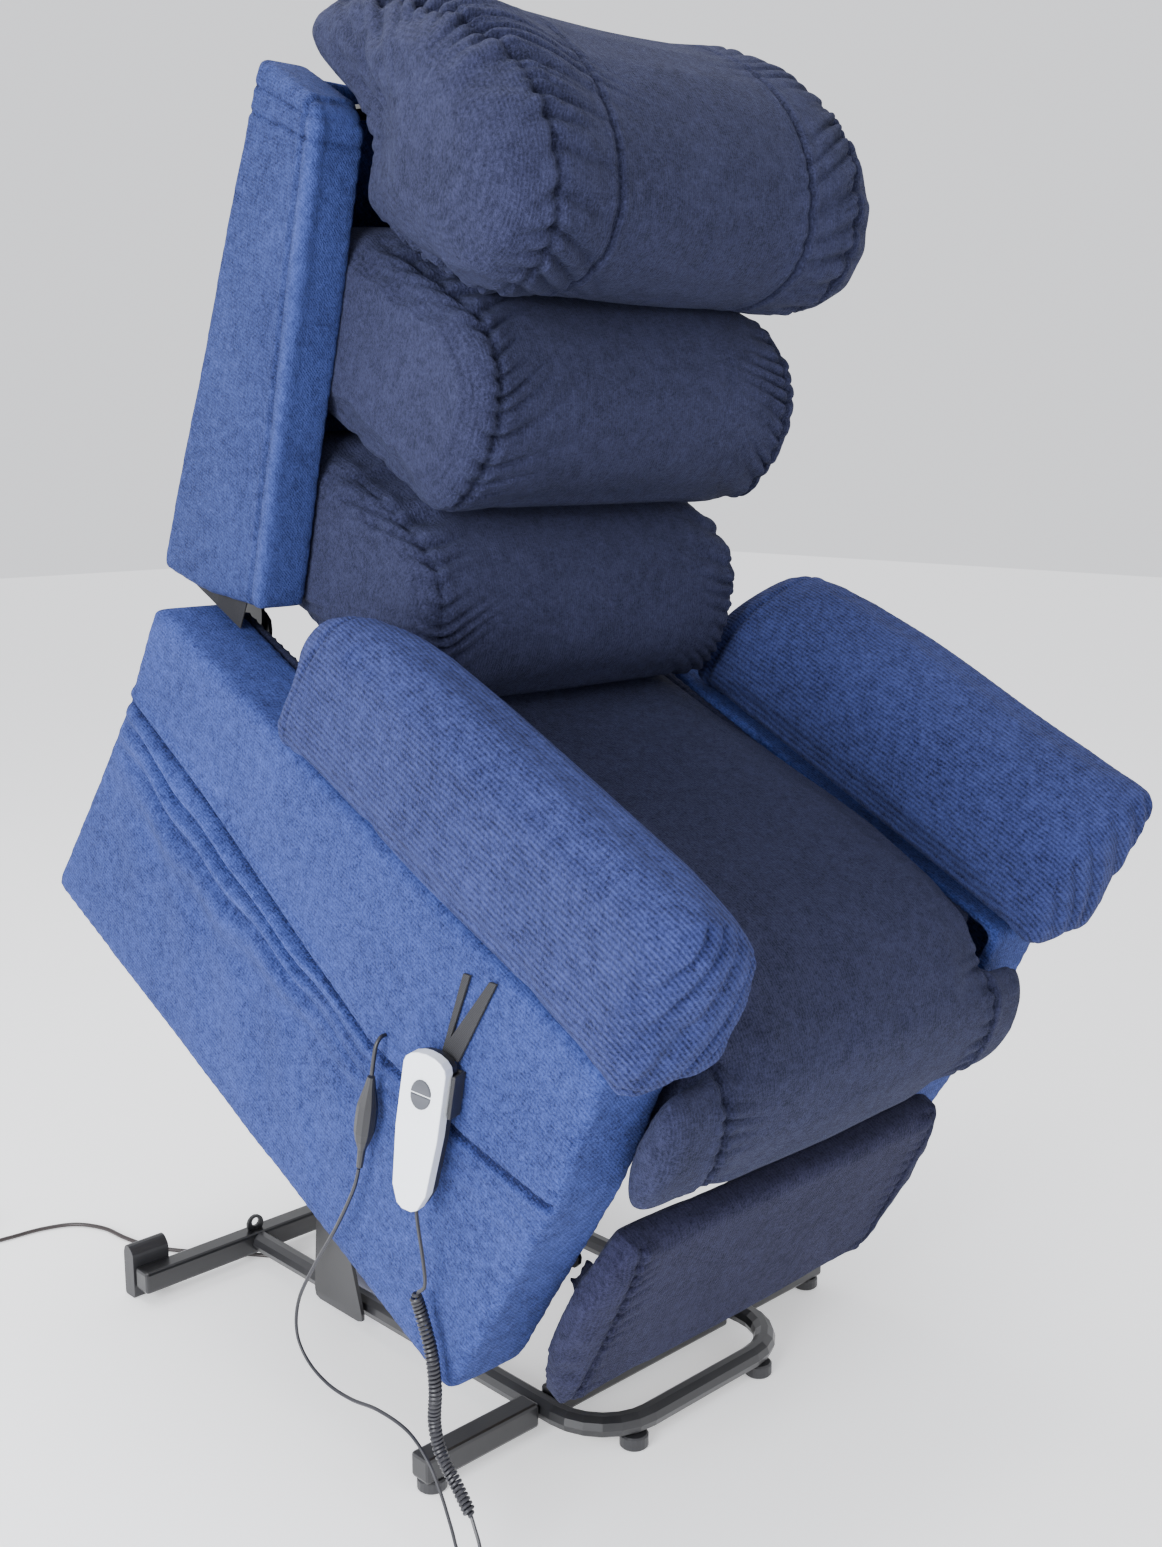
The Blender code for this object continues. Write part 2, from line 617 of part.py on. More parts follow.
# ---------------------------------------------------------------- seat
def build_seat(lift_axes):
    tip = (0.0, -(LINK_TIP[0] - LINK_PIVOT[0]), LINK_TIP[1] - LINK_PIVOT[1])
    seat = empty("seat_axis", tip, lift_axes, (math.radians(TILT), 0.0, 0.0))
    origin = SEAT_PIVOT

    def place(x, u, w):
        return (x, -(u - origin[0]), w - origin[1])

    for side in (1, -1):
        end, sign = sides(side)
        low, high = span(sign, CHASSIS_X, CHASSIS_OUT)
        outline = fillet([(0.100, 0.190), (0.082, 0.264), (0.048, 0.290), (0.048, BACK_HINGE[1] + 0.026),
                          (0.094, BACK_HINGE[1] + 0.026), (0.140, DECK_HEIGHT), (0.830, DECK_HEIGHT),
                          (0.830, 0.255), (0.715, 0.060), (CONTROL_PIVOT[0] + 0.028, CONTROL_PIVOT[1] - 0.018),
                          (CONTROL_PIVOT[0] - 0.030, CONTROL_PIVOT[1] - 0.018), (0.250, 0.038), (0.200, 0.130)],
                         0.014, 2)
        plate = side_piece("chassis_plate_" + end, "black_steel", [outline], low, high, seat, origin)
        inner = CHASSIS_X + 0.001
        outer = CHASSIS_OUT - 0.001
        add_pin(plate, "seat_pin_" + end, SEAT_PIVOT, sign * inner, sign * 0.1910, seat, origin)
        add_pin(plate, "control_boss_" + end, CONTROL_PIVOT, sign * inner, sign * 0.2062, seat, origin)
        add_pin(plate, "foot_pin_" + end, FOOT_HINGE, sign * outer, sign * 0.2225, seat, origin)
        add_pin(plate, "back_pin_" + end, BACK_HINGE, sign * outer, sign * 0.2230, seat, origin)

    brace = add("chassis_cross_tube", rod_mesh("chassis_cross_tube", 0.011, 2 * (CHASSIS_X - GAP)), "black_steel",
                seat, place(0.0, 0.800, 0.280))
    brace.data.name = "chassis_cross_tube"
    deck = add("seat_deck", block_mesh("seat_deck", (0.470, 0.680, DECK_THICKNESS)), "board", seat,
               place(0.0, 0.495, DECK_HEIGHT + GAP + DECK_THICKNESS / 2))
    rounded_edges(deck, 0.002, 1)

    rear = [(0.003, 0.006), (0.013, 0.006), (0.066, 0.258), (0.056, 0.258)]
    side_piece("rear_panel", "fabric", [rear], -SEAT_HALF, SEAT_HALF, seat, origin)

    shell = [(0.0, 0.0), (PANEL_LENGTH, 0.0), (0.912, 0.300), (0.905, ARM_TOP), (0.081, ARM_TOP),
             (0.070, 0.332)]
    hollow = [(0.014, -0.020), (PANEL_LENGTH - 0.013, -0.020), (0.8995, 0.300),
              (0.893, ARM_TOP - PANEL_WALL), (0.094, ARM_TOP - PANEL_WALL), (0.084, 0.328)]
    inner = [(0.070, 0.060), (0.866, 0.060), (0.866, ARM_TOP - 0.003), (0.098, ARM_TOP - 0.003),
             (0.088, 0.328)]
    for side in (1, -1):
        end, sign = sides(side)
        low, high = span(sign, ARM_SHELL, PANEL_HALF)
        piece = side_piece("arm_shell_" + end, "fabric", [fillet(shell, 0.012, 2)], low, high, seat, origin)
        low, high = span(sign, ARM_SHELL - 0.02, PANEL_HALF - PANEL_WALL)
        boolean(piece, side_cutter("arm_hollow_" + end, [hollow], low, high, seat, origin), "DIFFERENCE")
        low, high = span(sign, ARM_INNER, ARM_INNER + INNER_WALL)
        side_piece("arm_inner_panel_" + end, "fabric", [fillet(inner, 0.008, 2)], low, high, seat, origin)
        pad = cushion_mesh("arm_pad", pad_sections(sign, place))
        soften(add("arm_pad_" + end, pad, "fabric", seat))

    profile = [(0.170, 0.324), (0.160, 0.340), (0.160, 0.465), (0.180, 0.486), (0.380, 0.486), (0.520, 0.506),
               (0.740, 0.518), (0.920, 0.506), (0.968, 0.430), (0.966, 0.285), (0.948, 0.262), (0.900, 0.260),
               (0.876, 0.324), (0.845, 0.324), (0.600, 0.324)]
    stations = [(-SEAT_HALF, 0.94), (-SEAT_HALF + 0.020, 1.0), (SEAT_HALF - 0.020, 1.0), (SEAT_HALF, 0.94)]
    sections = [[place(x, *between((0.58, 0.41), p, share)) for p in profile] for x, share in stations]
    cushion = add("seat_cushion", cushion_mesh("seat_cushion", sections), "fabric", seat)
    soften(cushion)
    # the front roll spreads past the arms' front faces, under the pads
    roll = [(-ROLL_HALF, 0.72), (-ROLL_HALF + 0.012, 0.95), (-0.2, 1.0), (0.2, 1.0), (ROLL_HALF - 0.012, 0.95),
            (ROLL_HALF, 0.72)]
    front = [(0.920, 0.282), (0.918, 0.360), (0.920, 0.452), (0.946, 0.450), (0.963, 0.410), (0.964, 0.310),
             (0.946, 0.280)]
    rings = [[place(x, *between((0.941, 0.365), p, share)) for p in front] for x, share in roll]
    tool = cutter("front_roll", cushion_mesh("front_roll", rings), seat)
    soften(tool)
    boolean(cushion, tool, "UNION")
    return seat


def pad_sections(sign, place):
    """The padded armrest: one cross section carried along the arm, drawn in at both ends."""
    low = ARM_TOP + 0.0015
    inner = SEAT_HALF + 0.0025
    outer = PANEL_HALF + PAD_OVERHANG
    middle = (inner + outer) / 2
    section = [(inner + 0.006, low), (inner, low + 0.014), (inner, 0.575), (inner + 0.016, 0.628),
               (middle - 0.010, 0.664), (outer - 0.036, 0.690), (outer - 0.005, 0.676), (outer, 0.625),
               (outer, low + 0.014), (outer - 0.006, low)]
    made = []
    for u, share, tall in ((0.350, 0.74, 0.52), (0.368, 0.94, 0.80), (0.440, 1.0, 0.96), (0.560, 1.0, 1.0),
                           (0.900, 1.0, 1.0), (0.942, 0.98, 0.98), (0.958, 0.88, 0.88)):
        ring = []
        for x, w in section:
            ring.append(place(sign * (middle + (x - middle) * share), u, low + (w - low) * tall))
        made.append(ring)
    return made


# ---------------------------------------------------------------- back
def back_rear(w):
    """u of the back's rear face at a height."""
    return -BACK_LEAN * (w - BACK_FOOT)


def build_back(seat):
    def rest(p):
        return (p[0] - BACK_HINGE[0], p[1] - BACK_HINGE[1])

    hinge = (0.0, -(BACK_HINGE[0] - SEAT_PIVOT[0]), BACK_HINGE[1] - SEAT_PIVOT[1])
    back = empty("back_axis", hinge, seat)
    origin = BACK_HINGE

    def place(x, u, w):
        return (x, -(u - origin[0]), w - origin[1])

    offset = 0.023
    top = BACK_TOP - 0.020
    legs = [(FRAME_X, BACK_FOOT + 0.002), (FRAME_X, 0.70), (FRAME_X, top - 0.05)]
    legs += [(FRAME_X - 0.05 + p[0], top - 0.05 + p[1])
             for p in (polar((0, 0), 0.05, a) for a in (22.5, 45.0, 67.5, 90.0))]
    path = [place(x, back_rear(w) + offset, w) for x, w in legs]
    path += [place(-x, back_rear(w) + offset, w) for x, w in reversed(legs)]
    frame = add("back_frame", tube_mesh("back_frame", path, FRAME_RADIUS, 2), "black_steel", back)
    ear = fillet([(0.012, BACK_FOOT - 0.010), (0.010, 0.530), (0.036, 0.530), (0.090, 0.440),
                  (0.090, 0.400), (0.052, 0.400)], 0.010, 2)
    for side in (1, -1):
        end, sign = sides(side)
        low, high = span(sign, 0.2165, 0.2215)
        ear_tool = side_cutter("back_ear_" + end, [ear, pin_hole(BACK_HINGE)], low, high, back, origin)
        boolean(frame, ear_tool, "UNION")

    foot = BACK_FOOT - 0.016
    panel = [(back_rear(foot), foot), (back_rear(foot) + 0.010, foot),
             (back_rear(BACK_TOP) + 0.010, BACK_TOP), (back_rear(BACK_TOP), BACK_TOP)]
    side_piece("back_rear_panel", "fabric", [panel], -WING_INNER + SIDE_GAP, WING_INNER - SIDE_GAP, back, origin)

    wing = [(0.001, 0.472), (0.100, 0.496), (0.199, 0.530), (0.192, 0.566), (0.098, 1.036), (0.076, 1.058),
            (-0.029, 1.064)]
    for side in (1, -1):
        end, sign = sides(side)
        low, high = span(sign, WING_INNER, WING_OUTER)
        piece = side_piece("wing_" + end, "fabric", [wing], low, high, back, origin)
        rounded_edges(piece, 0.008)

    def across(name, profile, stations, centre):
        sections = []
        for x, share, clamp in stations:
            ring = []
            for p in profile:
                u, w = between(centre, p, share)
                ring.append(place(x, *clamp(u, w)))
            sections.append(ring)
        soften(add(name, cushion_mesh(name, sections), "fabric", back))

    def keep(u, w):
        return (u, w)

    def beside_wing(u, w):
        return (max(u, 0.138), w) if w < 1.072 else (u, w + 0.004)

    lower = [(0.050, 0.492), (0.046, 0.600), (0.040, 0.708), (0.200, 0.712), (0.352, 0.706), (0.412, 0.655),
             (0.430, 0.565), (0.412, 0.500), (0.380, 0.490), (0.230, 0.490)]
    across("back_cushion_lower", lower,
           [(-0.251, 0.92, keep), (-0.243, 0.985, keep), (-0.200, 1.0, keep), (0.200, 1.0, keep),
            (0.243, 0.985, keep), (0.251, 0.92, keep)], (0.22, 0.60))
    middle = [(0.036, 0.724), (0.030, 0.840), (0.024, 0.944), (0.180, 0.948), (0.325, 0.944), (0.390, 0.885),
              (0.400, 0.800), (0.370, 0.722), (0.335, 0.714), (0.200, 0.718)]
    across("back_cushion_middle", middle,
           [(-0.2555, 0.90, keep), (-0.246, 0.98, keep), (-0.205, 1.0, keep), (0.205, 1.0, keep),
            (0.246, 0.98, keep), (0.2555, 0.90, keep)], (0.21, 0.84))
    head = [(0.120, 0.955), (0.052, 0.968), (0.040, 1.060), (-0.046, 1.072), (-0.052, 1.110), (0.040, 1.170),
            (0.195, 1.202), (0.335, 1.160), (0.395, 1.055), (0.366, 0.954), (0.230, 0.952)]
    across("headrest", head,
           [(-0.292, 0.80, beside_wing), (-0.278, 0.93, beside_wing), (-0.250, 0.99, beside_wing), (-0.215, 1.0, keep),
            (0.215, 1.0, keep), (0.250, 0.99, beside_wing), (0.278, 0.93, beside_wing),
            (0.292, 0.80, beside_wing)], (0.20, 1.075))


# ---------------------------------------------------------------- footrest
def build_footrest(seat):
    def from_seat(p):
        return (0.0, -(p[0] - SEAT_PIVOT[0]), p[1] - SEAT_PIVOT[1])

    crank = empty("foot_crank_axis", from_seat(FOOT_HINGE), seat)
    elbow = empty("foot_elbow_axis", (0.0, -(FOOT_ELBOW[0] - FOOT_HINGE[0]), FOOT_ELBOW[1] - FOOT_HINGE[1]), crank)
    board = empty("foot_board_axis", (0.0, -(FOOT_PIVOT[0] - FOOT_ELBOW[0]), FOOT_PIVOT[1] - FOOT_ELBOW[1]), elbow)
    for side in (1, -1):
        end, sign = sides(side)
        low, high = span(sign, FOOT_LINK_X, FOOT_LINK_X + PLATE)
        loops = [capsule(FOOT_HINGE, FOOT_ELBOW, FOOT_LINK_HALF, 5), pin_hole(FOOT_HINGE), pin_hole(FOOT_ELBOW)]
        side_piece("footrest_crank_" + end, "black_steel", loops, low, high, crank, FOOT_HINGE)
        start = FOOT_LINK_X + PLATE + 0.002
        low, high = span(sign, start, start + PLATE)
        loops = [capsule(FOOT_ELBOW, FOOT_PIVOT, FOOT_LINK_HALF, 5), pin_hole(FOOT_PIVOT)]
        arm = side_piece("footrest_arm_" + end, "black_steel", loops, low, high, elbow, FOOT_ELBOW)
        add_pin(arm, "elbow_pin_" + end, FOOT_ELBOW, sign * (start + 0.001), sign * (FOOT_LINK_X - 0.0005),
                elbow, FOOT_ELBOW)

    widest = between((0.0, FOOT_LOW), (0.0, FOOT_HIGH), 0.5)[1]

    def flare(w):
        rise = 1.0 - ((w - widest) / (widest - FOOT_LOW)) ** 2
        return FOOT_HALF + (FOOT_FLARE - FOOT_HALF) * rise

    levels = 6
    heights = [FOOT_LOW + 0.004 + (FOOT_HIGH - FOOT_LOW - 0.008) * i / levels for i in range(levels + 1)]
    rings = []
    for share, u in ((1.0, FOOT_BACK), (1.0, FOOT_FRONT - 0.012), (0.985, FOOT_FRONT - 0.004), (0.955, FOOT_FRONT)):
        right = [(flare(w) * share, widest + (w - widest) * share) for w in heights]
        around = right + [(-x, w) for x, w in reversed(right)]
        rings.append([(x, -(u - FOOT_PIVOT[0]), w - FOOT_PIVOT[1]) for x, w in around])
    panel = add("footrest_panel", cushion_mesh("footrest_panel", rings), "fabric", board)
    start = FOOT_LINK_X + 2 * PLATE + 0.004
    bracket = fillet([(FOOT_BACK + 0.004, FOOT_PIVOT[1] - 0.035), (FOOT_BACK + 0.004, FOOT_PIVOT[1] + 0.035),
                      (FOOT_PIVOT[0] - 0.004, FOOT_PIVOT[1] + 0.013), (FOOT_PIVOT[0] - 0.012, FOOT_PIVOT[1]),
                      (FOOT_PIVOT[0] - 0.004, FOOT_PIVOT[1] - 0.013)], 0.006, 2)
    for side in (1, -1):
        end, sign = sides(side)
        low, high = span(sign, start, start + PLATE)
        boolean(panel, side_cutter("board_bracket_" + end, [bracket], low, high, board, FOOT_PIVOT), "UNION")
        add_pin(panel, "board_pin_" + end, FOOT_PIVOT, sign * (start + 0.001), sign * (start - PLATE - 0.0025),
                board, FOOT_PIVOT)


# ---------------------------------------------------------------- handset
def handset_outline(width, length, waist=0.80):
    """Rounded body, a little slimmer at the cord end."""
    half = width / 2
    top = arc((0.0, length / 2 - half * 0.62), half, 0, 180, 8)
    top = [(x, length / 2 - half * 0.62 + (y - length / 2 + half * 0.62) * 0.62) for x, y in top]
    low = half * waist
    bottom = [(-half, 0.0), (-low, -length / 2 + 0.022), (-low * 0.62, -length / 2 + 0.004),
              (-low * 0.30, -length / 2), (low * 0.30, -length / 2), (low * 0.62, -length / 2 + 0.004),
              (low, -length / 2 + 0.022), (half, 0.0)]
    return top + bottom


# the handset's outlines lie in its own face plane: across, then up, thickness outwards from the panel
FACE_TURN = Matrix(((0, 0, -1), (-1, 0, 0), (0, 1, 0)))


def build_handset(seat):
    pivot = seat_point(0.0, *STRAP_PIVOT)
    hanger = empty("hanger_axis", (0.0, -(STRAP_PIVOT[0] - SEAT_PIVOT[0]), STRAP_PIVOT[1] - SEAT_PIVOT[1]), seat,
                   (math.radians(-TILT), 0.0, 0.0))
    centre = Vector((HANDSET_CENTRE[0], FRONT_TUBE_Y - HANDSET_CENTRE[1], HANDSET_CENTRE[2])) - pivot
    body = empty("handset_axes", centre, hanger,
                 (math.radians(HANDSET_LEAN), 0.0, math.radians(HANDSET_YAW)))

    face = outline_mesh("handset_face", [handset_outline(HANDSET_WIDTH, HANDSET_LENGTH)], FACE_DEPTH)
    face_piece = add("handset_face", face, "white_plastic", body, (-FACE_DEPTH / 2 + 0.001, 0, 0), FACE_TURN)
    rounded_edges(face_piece, 0.004, 2, 50.0)
    rear = outline_mesh("handset_back", [handset_outline(HANDSET_WIDTH - 0.002, HANDSET_LENGTH - 0.004)], REAR_DEPTH)
    rear_piece = add("handset_back", rear, "black_plastic", body, (REAR_DEPTH / 2 + 0.001 + GAP, 0, 0), FACE_TURN)
    rounded_edges(rear_piece, 0.003, 1, 50.0)

    front = 0.001 - FACE_DEPTH
    for label, start in (("button_up", 0), ("button_down", 180)):
        sign = 1 if start == 0 else -1
        half = [(x * 1.0, BUTTON_HEIGHT + y * 1.25 + sign * BUTTON_SPLIT)
                for x, y in arc((0.0, 0.0), BUTTON_HALF, start, start + 180, 10)]
        depth = BUTTON_PROUD + 0.0025
        axes = empty(label + "_axis", (front, 0.0, 0.0), body)
        piece = add(label, outline_mesh(label, [half], depth), "button", axes,
                    (-BUTTON_PROUD + depth / 2, 0, 0), FACE_TURN)
        rounded_edges(piece, 0.0005, 1, 50.0)
        grown = [(x * 1.0, BUTTON_HEIGHT + y * 1.25 + sign * (BUTTON_SPLIT - 0.0004))
                 for x, y in arc((0.0, 0.0), BUTTON_HALF + 0.0005, start, start + 180, 10)]
        well = cutter(label + "_well", outline_mesh(label + "_well", [grown], 0.02), body,
                      (front + 0.0025 + BUTTON_TRAVEL + 0.0005 - 0.01, 0, 0), FACE_TURN)
        boolean(face_piece, well, "DIFFERENCE")

    # the holder: a plate between handset and arm with a lip round each edge of the handset
    reach = HANDSET_WIDTH / 2 + 0.0015
    depth = REAR_DEPTH + 0.001 + 2 * GAP
    clip = [(-reach, -0.004), (-reach, depth), (reach, depth), (reach, -0.004), (reach + 0.004, -0.004),
            (reach + 0.004, depth + 0.004), (-reach - 0.004, depth + 0.004), (-reach - 0.004, -0.004)]
    lift = Matrix(((0, 1, 0), (-1, 0, 0), (0, 0, 1)))
    holder = add("handset_holder", outline_mesh("handset_holder", [clip], 0.046), "black_plastic", body,
                 (0.0, 0.0, 0.045), lift)
    rounded_edges(holder, 0.0010, 1, 50.0)

    # two straps run up from the holder and meet the arm under the pad
    top_z = 0.0
    foot = centre + Vector((0.021, -0.014, 0.052))
    strap_x = -(PANEL_HALF + 0.0035)
    loops = []
    y0 = foot.y
    z0 = foot.z + 0.019
    strap = [(-y0 - 0.012, z0), (-y0 + 0.014, z0), (0.020, top_z), (0.010, top_z),
             (-y0 + 0.003, z0 + 0.022), (-0.018, top_z), (-0.028, top_z)]
    loops.append(strap)
    mesh = outline_mesh("holder_strap", loops, 0.0025)
    add("holder_strap", mesh, "black_plastic", hanger, (strap_x, 0.0, 0.0), SIDE_TURN)
    return hanger, pivot


# ---------------------------------------------------------------- cords
def beside(x, y, z):
    """A place beside the chair: across, forward of the front cross tube as a negative number, height."""
    return (x, FRONT_TUBE_Y + y, z)


CURLY_ROUTE = [
    beside(-0.3985, -0.0715, 0.3780), beside(-0.3990, -0.0745, 0.3600), beside(-0.4000, -0.0830, 0.3250),
    beside(-0.4000, -0.0850, 0.2980), beside(-0.3990, -0.0700, 0.2830),
    beside(-0.3950, -0.0720, 0.2620), beside(-0.3930, -0.0840, 0.2250), beside(-0.3930, -0.0900, 0.1850),
    beside(-0.3930, -0.0880, 0.1450), beside(-0.3930, -0.0980, 0.1150), beside(-0.3940, -0.1250, 0.0900),
    beside(-0.3950, -0.1480, 0.0660),
]
THIN_POINTS = 5
RETURN_ROUTE = [
    beside(-0.3970, -0.1590, 0.0500), beside(-0.3990, -0.1640, 0.0380), beside(-0.4060, -0.1580, 0.0290),
    beside(-0.4100, -0.1440, 0.0330), beside(-0.4100, -0.1330, 0.0560), beside(-0.4090, -0.1160, 0.0860),
    beside(-0.4080, -0.0950, 0.1120), beside(-0.4060, -0.0600, 0.1290), beside(-0.4020, -0.0050, 0.1270),
    beside(-0.4000, 0.0450, 0.1170), beside(-0.4000, 0.0880, 0.1170), beside(-0.4000, 0.1250, 0.1300),
    beside(-0.4000, 0.1440, 0.1560), beside(-0.4000, 0.1380, 0.1980), beside(-0.3980, 0.1080, 0.2500),
    beside(-0.3940, 0.0720, 0.3050), beside(-0.3900, 0.0450, 0.3550), beside(-0.3880, 0.0370, 0.3810),
]
PIGTAIL_ROUTE = [
    beside(-0.3730, 0.0060, 0.5330), beside(-0.3800, 0.0040, 0.5330), beside(-0.3860, 0.0040, 0.5260),
    beside(-0.3880, 0.0060, 0.5120), beside(-0.3880, 0.0100, 0.4930),
]
CONNECTOR_TOP = beside(-0.3880, 0.0110, 0.4905)
CONNECTOR_FOOT = beside(-0.3880, 0.0355, 0.3840)
MAINS_ROUTE = [
    beside(-0.1030, 0.4310, 0.0200), beside(-0.1040, 0.4480, 0.0150), beside(-0.1080, 0.4720, 0.0050),
    beside(-0.1180, 0.5100, 0.0036), beside(-0.1420, 0.5600, 0.0036), beside(-0.1820, 0.6150, 0.0036),
    beside(-0.2250, 0.6650, 0.0036), beside(-0.2560, 0.7150, 0.0036), beside(-0.2690, 0.7650, 0.0036),
    beside(-0.2760, 0.8150, 0.0036), beside(-0.3000, 0.8560, 0.0036), beside(-0.3420, 0.8760, 0.0036),
    beside(-0.3900, 0.8830, 0.0036), beside(-0.4300, 0.8900, 0.0036), beside(-0.4620, 0.9020, 0.0036),
]
COIL_CENTRE = beside(-0.5020, 0.9500, 0.0)
COIL_INNER = 0.0235
COIL_OUTER = 0.0425
COIL_HEIGHT = 0.0125
PLUG_CENTRE = beside(-0.4350, 0.9400, 0.0140)


def taper(a, b, radii, name):
    """A turned piece between two places: a straight run of discs of the given radii."""
    start, end = Vector(a), Vector(b)
    points = []
    for i, radius in enumerate(radii):
        here = start.lerp(end, i / (len(radii) - 1))
        points.append((here.x, here.y, here.z, radius))
    return tube_mesh(name, points, radii[0], 3)


def build_cords(root, hanger, pivot):
    def hang(points):
        return [tuple(Vector(p[:3]) - pivot) + tuple(p[3:]) for p in points]

    thin = smooth_route(CURLY_ROUTE, 0.014)
    thin_length = sum(math.dist(a, b) for a, b in zip(CURLY_ROUTE[:THIN_POINTS], CURLY_ROUTE[1:THIN_POINTS]))
    travelled = 0.0
    route = []
    for i, here in enumerate(thin):
        if i:
            travelled += math.dist(thin[i - 1], here)
        share = min(1.0, max(0.0, (travelled - thin_length + 0.010) / 0.010))
        route.append((*here, (HAND_CORD + (CURL - HAND_CORD) * share) / 2))
    add("curly_cord", tube_mesh("curly_cord", hang(route), HAND_CORD / 2, 2), "cord", hanger)
    back = smooth_route(RETURN_ROUTE, 0.012)
    add("return_cord", tube_mesh("return_cord", hang(back), HAND_CORD / 2, 2), "cord", hanger)
    tail = smooth_route(PIGTAIL_ROUTE, 0.008)
    add("pigtail_cord", tube_mesh("pigtail_cord", hang(tail), HAND_CORD / 2, 2), "cord", hanger)
    radii = [0.0040, 0.0060, 0.0085, 0.0110, 0.0115, 0.0115, 0.0110, 0.0085, 0.0045, 0.0040, 0.0035]
    body = taper(*hang([CONNECTOR_TOP, CONNECTOR_FOOT]), radii, "cord_connector")
    add("cord_connector", body, "black_plastic", hanger)

    lead = smooth_route(MAINS_ROUTE, 0.016)
    add("mains_lead", tube_mesh("mains_lead", lead, MAINS / 2, 2), "cord", root)
    ring = bpy.data.meshes.new("mains_coil")
    work = bmesh.new()
    middle = (COIL_INNER + COIL_OUTER) / 2
    half = (COIL_OUTER - COIL_INNER) / 2
    corners = [(half, 0.003), (half, COIL_HEIGHT - 0.003), (half - 0.003, COIL_HEIGHT), (0.003 - half, COIL_HEIGHT),
               (-half, COIL_HEIGHT - 0.003), (-half, 0.003), (0.003 - half, 0.0), (half - 0.003, 0.0)]
    verts = [work.verts.new((middle + x, 0.0, z + GAP)) for x, z in corners]
    edges = [work.edges.new((verts[i], verts[(i + 1) % len(verts)])) for i in range(len(verts))]
    bmesh.ops.spin(work, geom=verts + edges, cent=(0, 0, 0), axis=(0, 0, 1), angle=2 * math.pi, steps=28,
                   use_merge=True)
    bmesh.ops.remove_doubles(work, verts=work.verts, dist=0.00005)
    bmesh.ops.recalc_face_normals(work, faces=work.faces)
    work.to_mesh(ring)
    work.free()
    add("mains_coil", ring, "cord", root, COIL_CENTRE)
    plug = add("mains_plug", block_mesh("mains_plug", (0.034, 0.046, 0.027)), "black_plastic", root, PLUG_CENTRE)
    rounded_edges(plug, 0.006, 2)
    for side in (1, -1):
        end, sign = sides(side)
        pin = cutter("plug_pin_" + end, rod_mesh("plug_pin", 0.0024, 0.024, "Y", 10), root,
                     Vector(PLUG_CENTRE) + Vector((sign * 0.0095, -0.033, 0.0)))
        boolean(plug, pin, "UNION")


# ---------------------------------------------------------------- build
clear_scene()
PARTS = new_collection("lift_recliner_chair")
CUTTERS = new_collection("cutters")
ROOT = empty("chair_root", (0.0, 0.0, 0.0))
build_base(ROOT)
build_lift(ROOT)
build_actuator(ROOT)
SEAT = build_seat(bpy.data.objects["lift_axis"])
build_back(SEAT)
build_footrest(SEAT)
HANGER, STRAP_PLACE = build_handset(SEAT)
build_cords(ROOT, HANGER, STRAP_PLACE)
bpy.context.view_layer.update()
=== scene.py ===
# Lift recliner chair: upholstery, cords, finishes, floor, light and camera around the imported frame.
import json
import math

import bmesh
import bpy
import numpy as np
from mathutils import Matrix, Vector

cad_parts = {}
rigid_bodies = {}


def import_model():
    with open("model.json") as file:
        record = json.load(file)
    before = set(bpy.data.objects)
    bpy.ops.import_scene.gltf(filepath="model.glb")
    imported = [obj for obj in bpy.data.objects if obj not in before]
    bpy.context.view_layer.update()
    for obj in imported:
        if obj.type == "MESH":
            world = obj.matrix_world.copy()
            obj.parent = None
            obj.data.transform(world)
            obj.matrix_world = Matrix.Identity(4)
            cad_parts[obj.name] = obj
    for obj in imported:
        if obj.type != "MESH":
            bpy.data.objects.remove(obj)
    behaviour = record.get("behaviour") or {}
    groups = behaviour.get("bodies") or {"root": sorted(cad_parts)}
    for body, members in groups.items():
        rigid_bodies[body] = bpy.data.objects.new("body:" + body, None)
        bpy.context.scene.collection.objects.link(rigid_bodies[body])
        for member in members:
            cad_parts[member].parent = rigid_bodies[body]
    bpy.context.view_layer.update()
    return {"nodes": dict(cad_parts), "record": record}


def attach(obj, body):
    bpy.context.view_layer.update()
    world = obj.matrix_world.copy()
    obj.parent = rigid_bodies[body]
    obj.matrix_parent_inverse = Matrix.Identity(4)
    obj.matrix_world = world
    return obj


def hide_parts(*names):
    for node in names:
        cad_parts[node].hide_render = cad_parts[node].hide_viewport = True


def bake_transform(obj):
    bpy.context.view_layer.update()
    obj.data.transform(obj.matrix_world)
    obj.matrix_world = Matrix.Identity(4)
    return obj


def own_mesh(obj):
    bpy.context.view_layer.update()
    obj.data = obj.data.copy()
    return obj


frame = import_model()
nodes = frame["nodes"]
tau = 2.0 * math.pi
print("frame loaded:", len(nodes), "nodes")

# ---- camera
cameraSettings = {"place": (-1.39, -1.468, 1.133), "tip": 78.9, "roll": 0.0, "yaw": -44.2, "lens": 39.7, "sensor": 36.0}
lens = bpy.data.cameras.new("camera")
lens.lens = cameraSettings["lens"]
lens.sensor_width = cameraSettings["sensor"]
camera = bpy.data.objects.new("camera", lens)
camera.location = cameraSettings["place"]
camera.rotation_euler = [math.radians(cameraSettings[k]) for k in ("tip", "roll", "yaw")]
bpy.context.scene.collection.objects.link(camera)
bpy.context.scene.camera = camera

